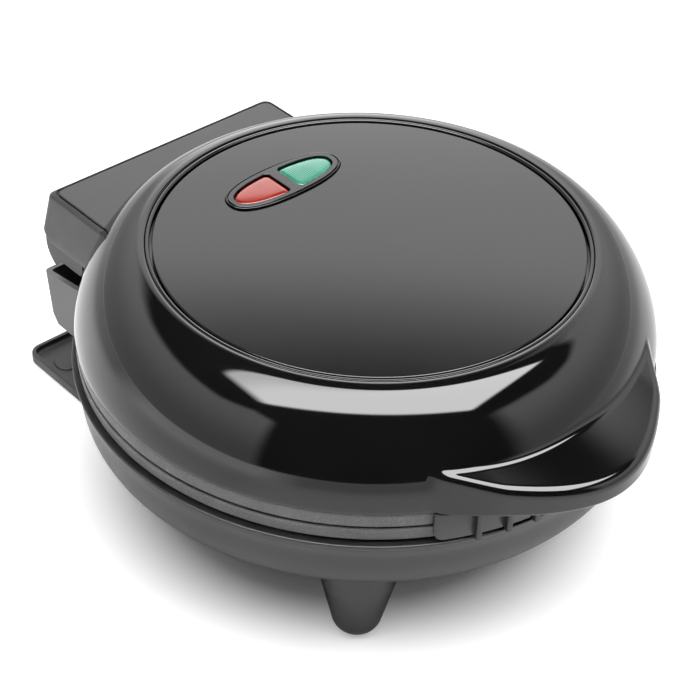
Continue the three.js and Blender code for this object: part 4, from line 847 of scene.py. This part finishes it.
def make_cover():
    """The lid's box over the hinge, with its cheeks, webs, curved straps and pin hubs."""
    rear_at = lambda z: COVER_REAR - COVER_LEAN * (z - COVER_BEND)
    rise = [(51.4, 115.4, 59.7), (51.7, 116.2, 60.3), (51.7, COVER_REAR - 0.3, 62.8),
            (51.68, COVER_REAR - 0.1, 63.6)]
    for k in range(1, 8):
        z = 63.6 + (79.8 - 63.6) * k / 7
        rise.append((51.7 - 0.5 * (z - COVER_BEND) / 16.6, rear_at(z) - 0.05, z))
    rows = [(half, COVER_FRONT, rear, COVER_CORNER, z) for half, rear, z in rise]
    # The top's rounded edge, the fine groove inside it and the flat top.
    for inset, z in ((0.08, 80.1), (0.3, 80.4), (1.0, 81.05), (1.5, 81.3), (1.62, 81.2), (1.7, 80.4),
                     (2.3, 80.4), (2.38, 81.2), (2.55, 81.42), (2.9, 81.5)):
        rows.append((51.2 - inset, COVER_FRONT + inset, rear_at(z) - inset, COVER_CORNER, z))
    hollow = stacked("cover_hollow", [(49.3, 80.4, 113.2, 1.0, 58.7), (49.3, 80.4, 115.4, 1.0, 63.3),
                                      (48.8, 80.4, 110.9, 1.0, 79.1)])
    cover = cut(stacked("hinge_cover", rows), hollow)
    outer = arc(STRAP_OUTER, -60, 25, 18)
    strap = outer + arc(STRAP_OUTER - STRAP_WALL, 25, -60, 18)
    cheek = ([(95.4, 60.2), (95.4, 54.5), (96.6, 52.6), (98.6, 52.5), (108.0, 52.5)]
             + outer + [(111.7, 80.3), (95.4, 80.3)])
    web = [(101.4, 58.0), (112.6, 58.0), (111.7, 80.3), (101.4, 80.3)]
    hub = arc(5.6, 0, 350, 35)
    parts = [across(name, outline, (side * near, side * far), 0.25) for side in SIDES
             for name, outline, (near, far) in (
                 ("cheek", cheek, (47.5, 49.9)), ("web", web, (30.0, 32.4)),
                 ("strap", strap, OUTER_KNUCKLE), ("strap", strap, INNER_KNUCKLE),
                 ("hub", hub, OUTER_KNUCKLE), ("hub", hub, INNER_KNUCKLE))]
    bores = [across("bore", arc(PIN_HOLE, 0, 350, 35), (side * 29.0, side * 47.5)) for side in SIDES]
    ring = turned("ring_clearance", [(0, 50.0), (98.75, 50.0)]
                  + [(radius + 0.35, z + 0.1) for radius, z in (dome(i / 40) for i in range(41))]
                  + [(0, 100.6)], 360)
    cover = cut(fused(cover, *parts), *bores, ring)
    eased(cover, 0.3)
    dressed(cover, grained, "lid", "lid_hinge_cover", slot="satin_black", weigh=True)


HOUSING_FRONT, HOUSING_HALF, HOUSING_CORNER = 85.5, 52.5, 2.4
HEEL_REAR = 114.4
HEEL_LEAN = (117.0 - 114.4) / (45.2 - 27.6)
INLET_RADIUS, INLET_HEIGHT = 6.0, 34.0


def make_housing():
    """The base's open box under the hinge, with its two ears for the pins and the cord's hole."""
    top_at = lambda y: 49.4 + (45.2 - 49.4) * (y - 85.5) / (117.0 - 85.5)
    rise = [(52.2, 111.2, 24.0), (HOUSING_HALF, 111.8, 24.3), (HOUSING_HALF, HEEL_REAR - 0.2, 27.4),
            (HOUSING_HALF, HEEL_REAR + 0.05, 27.9)]
    for k in range(1, 7):
        z = 27.9 + (52.0 - 27.9) * k / 6
        rise.append((HOUSING_HALF, HEEL_REAR + HEEL_LEAN * (z - 27.6), z))
    outside = stacked("hinge_housing_box",
                      [(half, HOUSING_FRONT, rear, HOUSING_CORNER, z) for half, rear, z in rise])
    inside = stacked("housing_hollow", [(50.5, 87.5, 111.6, 1.2, 26.6), (50.5, 87.5, 112.6, 1.2, 28.2),
                                        (50.5, 87.5, 116.1, 1.2, 54.0)])
    above = [(80.0, top_at(80.0)), (125.0, top_at(125.0)), (125.0, 70.0), (80.0, 70.0)]
    housing = cut(outside, inside, across("above", above, (-60, 60)))
    ear = [(99.5, 25.3), (106.0, 25.3), (106.0, 53.0)] + arc(5.5, -60, 180, 20) + [(99.5, 56.0)]
    housing = fused(housing, *[across("ear", ear, (side * 36.1, side * 41.1), 0.3) for side in SIDES])
    bores = [across("bore", arc(PIN_HOLE, 0, 351, 39), (side * 35.0, side * 42.2)) for side in SIDES]
    hole = [(INLET_RADIUS * math.cos(TURN * i / 48), INLET_HEIGHT + INLET_RADIUS * math.sin(TURN * i / 48))
            for i in range(48)]
    inlet = lofted("inlet_hole", [[(x, y, z) for x, z in hole] for y in (108.0, 122.0)])
    bowl = turned("bowl_clearance", [(0, 60.0), (101.0, 60.0), (100.2, 56.9)]
                  + [(radius + 0.3, z - 0.3) for radius, z in bowl_curve(0, 60)] + [(0, 30.6)], 300)
    housing = cut(housing, *bores, inlet, bowl)
    eased(housing, 0.35)
    # The housing wears the lighter copy of its plastic: painted light for the floor's bounce on its side.
    dressed(housing, painted_light_grained, "base", "hinge_housing", slot="satin_black", weigh=True)


WRAP_HALF, WRAP_FRONT, WRAP_REAR = 57.5, 72.0, 125.5
PADS = ((-48.0, 112.0), (48.0, 112.0))


def make_cord_wrap():
    """The flat foot with its raised rim, the core that the cord goes round and the seats of two pads."""
    def inset_rows(*rows):
        return [(WRAP_HALF - inset, WRAP_FRONT + inset, WRAP_REAR - inset, corner, z)
                for inset, corner, z in rows]

    plate = stacked("cord_wrap_foot", inset_rows((0.5, 4.5, 0.8), (0.12, 4.9, 1.0), (0, 5.0, 1.4),
                                                 (0, 5.0, 4.5), (0.1, 4.9, 4.85), (0.4, 4.6, 5.0)))
    tray = stacked("tray", inset_rows((2.2, 3.6, 2.8), (1.75, 3.5, 3.2), (1.6, 3.4, 4.8),
                                      (1.4, 3.6, 5.4)))
    core = stacked("core", [(34.0, 87.0, 107.5, 4.0, 1.4), (34.0, 87.0, 107.5, 4.0, 23.2),
                            (33.6, 87.4, 107.1, 3.6, 23.7)])
    collar = [(0, 2.0), (5.4, 2.0), (5.4, 3.0), (5.15, 3.25), (0, 3.25)]
    collars = [turned("pad_collar", collar, 64, pad) for pad in PADS]
    hollow = stacked("core_hollow", [(32.0, 89.0, 105.5, 2.4, -0.5), (31.4, 89.6, 104.9, 2.4, 21.5)])
    socket = [(0, -1.0), (6.1, -1.0), (6.1, 2.3), (0, 2.3)]
    sockets = [turned("pad_socket", socket, 64, pad) for pad in PADS]
    plate = cut(fused(cut(plate, tray), core, *collars), hollow, *sockets)
    eased(plate, 0.3)
    dressed(plate, dull, "base", "cord_wrap_plate", slot="satin_black", weigh=True)


make_bowl()
for side, place in FEET.items():
    make_foot(side, place)
make_cover()
make_housing()
make_cord_wrap()


# ---------------------------------------------------------------- cooking plates
POCKET_RADIUS, POCKET_FLAT, POCKET_CORNER = 80.0, 5.0, 9.0
POST_RADIUS, POST_CIRCLE, POST_ANGLES = 5.0, 62, (30, 150, 270)


def pocket(side, inset, z, corner=POCKET_CORNER):
    """The outline of one half-round pocket, drawn in by inset, at one height."""
    radius, flat = POCKET_RADIUS - inset, POCKET_FLAT + inset
    rise = math.sqrt((radius - corner) ** 2 - (flat + corner) ** 2)
    lean = math.atan2(rise, flat + corner)
    points = []

    def bend(x, y, size, start, end, steps):
        for i in range(steps):
            angle = start + (end - start) * i / steps
            points.append((side * (x + size * math.cos(angle)), y + size * math.sin(angle), z))

    bend(0, 0, radius, -lean, lean, 72)
    bend(flat + corner, rise, corner, lean, math.pi, 16)
    points.extend((side * flat, rise - 2 * rise * k / 24, z) for k in range(24))
    bend(flat + corner, -rise, corner, math.pi, TURN - lean, 16)
    return points


def pocket_rows(face, floor, away):
    """A pocket's inside as (inset, z): a rounded lip, a slanting wall and a round down to the floor."""
    depth = floor - face
    rows = [(-1.3, face - away * 0.6), (-1.05, face - away * 0.02), (-0.6, face + away * 0.12),
            (-0.25, face + away * 0.4), (0.0, face + away * 0.95)]
    for k in range(1, 9):
        share = k / 9
        rows.append((2.0 * share + 0.3 * share * share,
                     face + away * 0.95 + (depth * 0.7 - away * 0.95) * share))
    inset, z = rows[-1]
    for k in range(1, 11):
        angle = math.pi / 2 * k / 10
        rows.append((inset + (6.6 - inset) * (1 - math.cos(angle)), z + (floor - z) * math.sin(angle)))
    return rows


def make_plate(name, node, body, radius, face, back, floor, seat):
    """A cast plate with two half-round pockets and three posts down to the seat behind it."""
    away = 1 if back > face else -1
    if away < 0:
        wall = [(0.55, face), (0.2, face - 0.12), (0.03, face - 0.45), (0, face - 0.8),
                (0, face - 1.25), (0.3, face - 1.45), (0.3, back + 0.4), (0.8, back)]
    else:
        wall = [(0.9, face), (0.5, face + 0.12), (0.12, face + 0.5), (0, face + 0.95),
                (0, back - 0.9), (0.3, back - 0.2), (0.8, back)]
    profile = [(0, face)] + [(radius - inset, z) for inset, z in wall] + [(0, back)]
    plate = turned(name, profile, 300)
    skin = floor - face + away * 3.0
    tubs, mouths, posts = [], [], []
    for side in SIDES:
        rows = [(6.0 * inward - 3.0, face + skin * sunk)
                for inward, sunk in ((0.0, 0.02), (0.333, 0.667), (0.667, 0.9), (1.0, 1.0))]
        tubs.append(lofted("tub", [pocket(side, inset, z) for inset, z in rows]))
        mouths.append(lofted("pocket", [
            pocket(side, inset, z, POCKET_CORNER - min(max(inset, 0), 4) * 0.25)
            for inset, z in pocket_rows(face, floor, away)]))
    low, high = sorted(((face + back) / 2, seat))
    for angle in POST_ANGLES:
        x, y = POST_CIRCLE * math.cos(math.radians(angle)), POST_CIRCLE * math.sin(math.radians(angle))
        posts.append(turned("post", [(0, low), (POST_RADIUS, low), (POST_RADIUS, high), (0, high)], 48,
                            (x, y)))
    plate = cut(fused(plate, *tubs, *posts), *mouths)
    dressed(plate, coating, body, node, slot="coated_plate", crease=32, weigh=True)


# ---------------------------------------------------------------- ribbed skirt under the handle
def rib_tree():
    """A row of upright rounded ribs set round an arc, each facing outwards."""
    tree = bpy.data.node_groups.new("skirt_ribs", "GeometryNodeTree")
    face = tree.interface
    face.new_socket("Geometry", in_out="INPUT", socket_type="NodeSocketGeometry")
    face.new_socket("Count", in_out="INPUT", socket_type="NodeSocketInt")
    for label in ("Pitch", "Radius", "Width", "Depth", "Bottom", "Top", "Middle"):
        face.new_socket(label, in_out="INPUT", socket_type="NodeSocketFloat")
    face.new_socket("Finish", in_out="INPUT", socket_type="NodeSocketMaterial")
    face.new_socket("Geometry", in_out="OUTPUT", socket_type="NodeSocketGeometry")
    wires = Wiring(tree)
    given = wires.add("NodeGroupInput").outputs
    section = wires.add("GeometryNodeCurvePrimitiveQuadrilateral", {
        "Width": given["Width"], "Height": given["Depth"]})
    soft = wires.add("GeometryNodeFilletCurve", {
        "Curve": section.outputs[0], "Count": 4, "Radius": wires.product(given["Width"], 0.22)},
        mode="POLY")
    bottom = wires.add("ShaderNodeCombineXYZ", {"Z": given["Bottom"]})
    top = wires.add("ShaderNodeCombineXYZ", {"Z": given["Top"]})
    line = wires.add("GeometryNodeCurvePrimitiveLine", {"Start": bottom.outputs[0], "End": top.outputs[0]})
    rib = wires.add("GeometryNodeCurveToMesh", {
        "Curve": line.outputs[0], "Profile Curve": soft.outputs[0], "Fill Caps": True})
    row = wires.add("GeometryNodeMeshLine", {"Count": given["Count"]})
    index = wires.add("GeometryNodeInputIndex").outputs[0]
    half = wires.math("DIVIDE", wires.math("SUBTRACT", given["Count"], 1.0), 2.0)
    aside = wires.product(wires.math("SUBTRACT", index, half), given["Pitch"])
    angle = wires.math("ARCSINE", wires.math("DIVIDE", aside, given["Radius"]))
    forward = wires.product(wires.math("COSINE", angle), given["Radius"])
    back = wires.math("SUBTRACT", given["Middle"], forward)
    spot = wires.add("ShaderNodeCombineXYZ", {"X": aside, "Y": back})
    placed = wires.add("GeometryNodeSetPosition", {
        "Geometry": row.outputs[0], "Position": spot.outputs[0]})
    facing = wires.add("ShaderNodeCombineXYZ", {"Z": angle})
    copies = wires.add("GeometryNodeInstanceOnPoints", {
        "Points": placed.outputs[0], "Instance": rib.outputs[0], "Rotation": facing.outputs[0]})
    real = wires.add("GeometryNodeRealizeInstances", {0: copies.outputs[0]})
    finish = wires.add("GeometryNodeSetMaterial", {"Geometry": real.outputs[0], "Material": given["Finish"]})
    wires.add("NodeGroupOutput", {"Geometry": finish.outputs[0]})
    return tree


def grown(name, tree, **values):
    """A plain mesh made by a Geometry Nodes tree with these named inputs."""
    obj = bpy.data.objects.new(name, bpy.data.meshes.new(name))
    scene.collection.objects.link(obj)
    modifier = obj.modifiers.new("grow", "NODES")
    modifier.node_group = tree
    for item in tree.interface.items_tree:
        if item.item_type == "SOCKET" and item.in_out == "INPUT" and item.name in values:
            modifier[item.identifier] = values[item.name]
    return settled(obj)


SKIRT_INNER, SKIRT_OUTER, SKIRT_HALF = 98.75, 100.05, 30.6
SKIRT_LOW, SKIRT_CORNER = 57.9, 3.4
SKIRT_SIDE_TOP, SKIRT_MIDDLE_TOP, MIDDLE_HALF = 68.3, 72.4, 19


def make_skirt():
    """The curved wall that hangs from the lid under the handle, its lower corners round, and its ribs."""
    corner = math.degrees(SKIRT_CORNER / SKIRT_INNER)
    sections = []
    for i in range(125):
        angle = -SKIRT_HALF + 2 * SKIRT_HALF * i / 124
        into = max(abs(angle) - (SKIRT_HALF - corner), 0) / corner
        low = SKIRT_LOW + SKIRT_CORNER * (1 - math.sqrt(max(1 - into * into, 0)))
        high = SKIRT_SIDE_TOP if abs(angle) > MIDDLE_HALF else SKIRT_MIDDLE_TOP
        rows = [(SKIRT_INNER, low + 0.3), (SKIRT_INNER + 0.1, low + 0.1), (SKIRT_INNER + 0.3, low),
                (SKIRT_OUTER - 0.4, low), (SKIRT_OUTER - 0.12, low + 0.12), (SKIRT_OUTER, low + 0.4),
                (SKIRT_OUTER, high), (SKIRT_INNER, high)]
        sine, cosine = math.sin(math.radians(angle)), math.cos(math.radians(angle))
        sections.append([(radius * sine, -radius * cosine, z) for radius, z in rows])
    skirt = lofted("handle_skirt_wall", sections)
    ribs = grown("skirt_ribs", rib_tree(), Count=9, Pitch=9.7 * MM, Radius=100.9 * MM, Width=1.9 * MM,
                 Depth=2.6 * MM, Bottom=57.45 * MM, Top=68.2 * MM, Middle=AXIS_Y, Finish=satin)
    dressed(skirt, satin, "lid", "handle_skirt", slot="satin_black")
    dressed(ribs, satin, "lid", slot="satin_black")


# ---------------------------------------------------------------- screws
SCREW_HEAD, SCREW_SHANK, SCREW_RISE = 3.4, 1.6, 2.0
THREAD_PITCH = 1.0


def head_down(obj, place):
    """Turns a piece made about the upright axis upside down and puts it at its place in millimetres."""
    turn = Vector((0, 0, 1)).rotation_difference(Vector((0, 0, -1))).to_matrix().to_4x4()
    middle = Matrix.Translation(Vector((0, AXIS_Y, 0)))
    spot = Matrix.Translation(Vector(place) * MM)
    obj.data.transform(middle @ spot @ turn @ middle.inverted())


def make_screw(name, node, length):
    """A pan-head screw with a cross recess and rolled thread rings, its head facing down."""
    profile = [(0, -length), (SCREW_SHANK * 0.45, -length), (SCREW_SHANK * 0.8, -length + 1.2)]
    for i in range(int((length - 2.6) / THREAD_PITCH)):
        z = -length + 1.6 + i * THREAD_PITCH
        profile += [(SCREW_SHANK * 0.84, z), (SCREW_SHANK, z + THREAD_PITCH * 0.3),
                    (SCREW_SHANK, z + THREAD_PITCH * 0.4), (SCREW_SHANK * 0.84, z + THREAD_PITCH * 0.7)]
    profile += [(SCREW_SHANK * 0.9, -0.4), (SCREW_SHANK, 0.0),
                (SCREW_HEAD * 0.96, 0.0), (SCREW_HEAD, 0.25)]
    for k in range(1, 9):
        angle = math.pi / 2 * k / 8
        profile.append((SCREW_HEAD * math.cos(angle), 0.45 + (SCREW_RISE - 0.45) * math.sin(angle)))
    screw = turned(name, profile, 40)
    arm, thin = SCREW_HEAD * 0.52, SCREW_HEAD * 0.13
    for wide, deep in ((thin, arm), (arm, thin)):
        corners = ((-wide, -deep), (wide, -deep), (wide, deep), (-wide, deep))
        screw = cut(screw, lofted("cross", [
            [(x * scale, y * scale, z) for x, y in corners]
            for scale, z in ((0.45, SCREW_RISE - 1.4), (1.0, SCREW_RISE + 0.4))]))
    low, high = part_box(node)
    middle = (low + high) / 2 / MM - Vector((0, AXIS_Y / MM, 0))
    head_down(screw, middle + Vector((0, 0, SCREW_RISE - (length + SCREW_RISE) / 2)))
    dressed(screw, steel, "base", node, slot="steel", crease=35)


make_plate("lower_cooking_plate", "lower_plate", "base", 98.1, 62.2, 57.6, 49.8, 33.7)
make_plate("upper_cooking_plate", "upper_plate", "lid", 97.9, 62.8, 68.3, 75.0, 92.0)
make_skirt()
for i in (1, 2, 3):
    make_screw(f"base_screw_{i}_steel", f"base_screw_{i}", 10.0)
for side in ("left", "right"):
    make_screw(f"wrap_screw_{side}_steel", f"wrap_plate_screw_{side}", 11.0)


# ---------------------------------------------------------------- CAD nodes that stay shown
# They keep their shape and take a worked finish by their slot.
plain_finishes = {
    "steel": steel, "rubber": rubber, "ceramic": ceramic, "element_sheath": sheath,
    "reflector_sheet": tin, "glass_sleeve": sleeving, "lead_insulation": wire_skin,
    "lamp_glass": bulb, "satin_black": grained}
for part in frame["record"]["subparts"]:
    node = frame["nodes"][part["node"]]
    if node.hide_render:
        continue
    finish = cord_skin if part["node"] == "supply_cord_inner" else plain_finishes[part["material_slot"]]
    for place in node.material_slots:
        place.material = finish
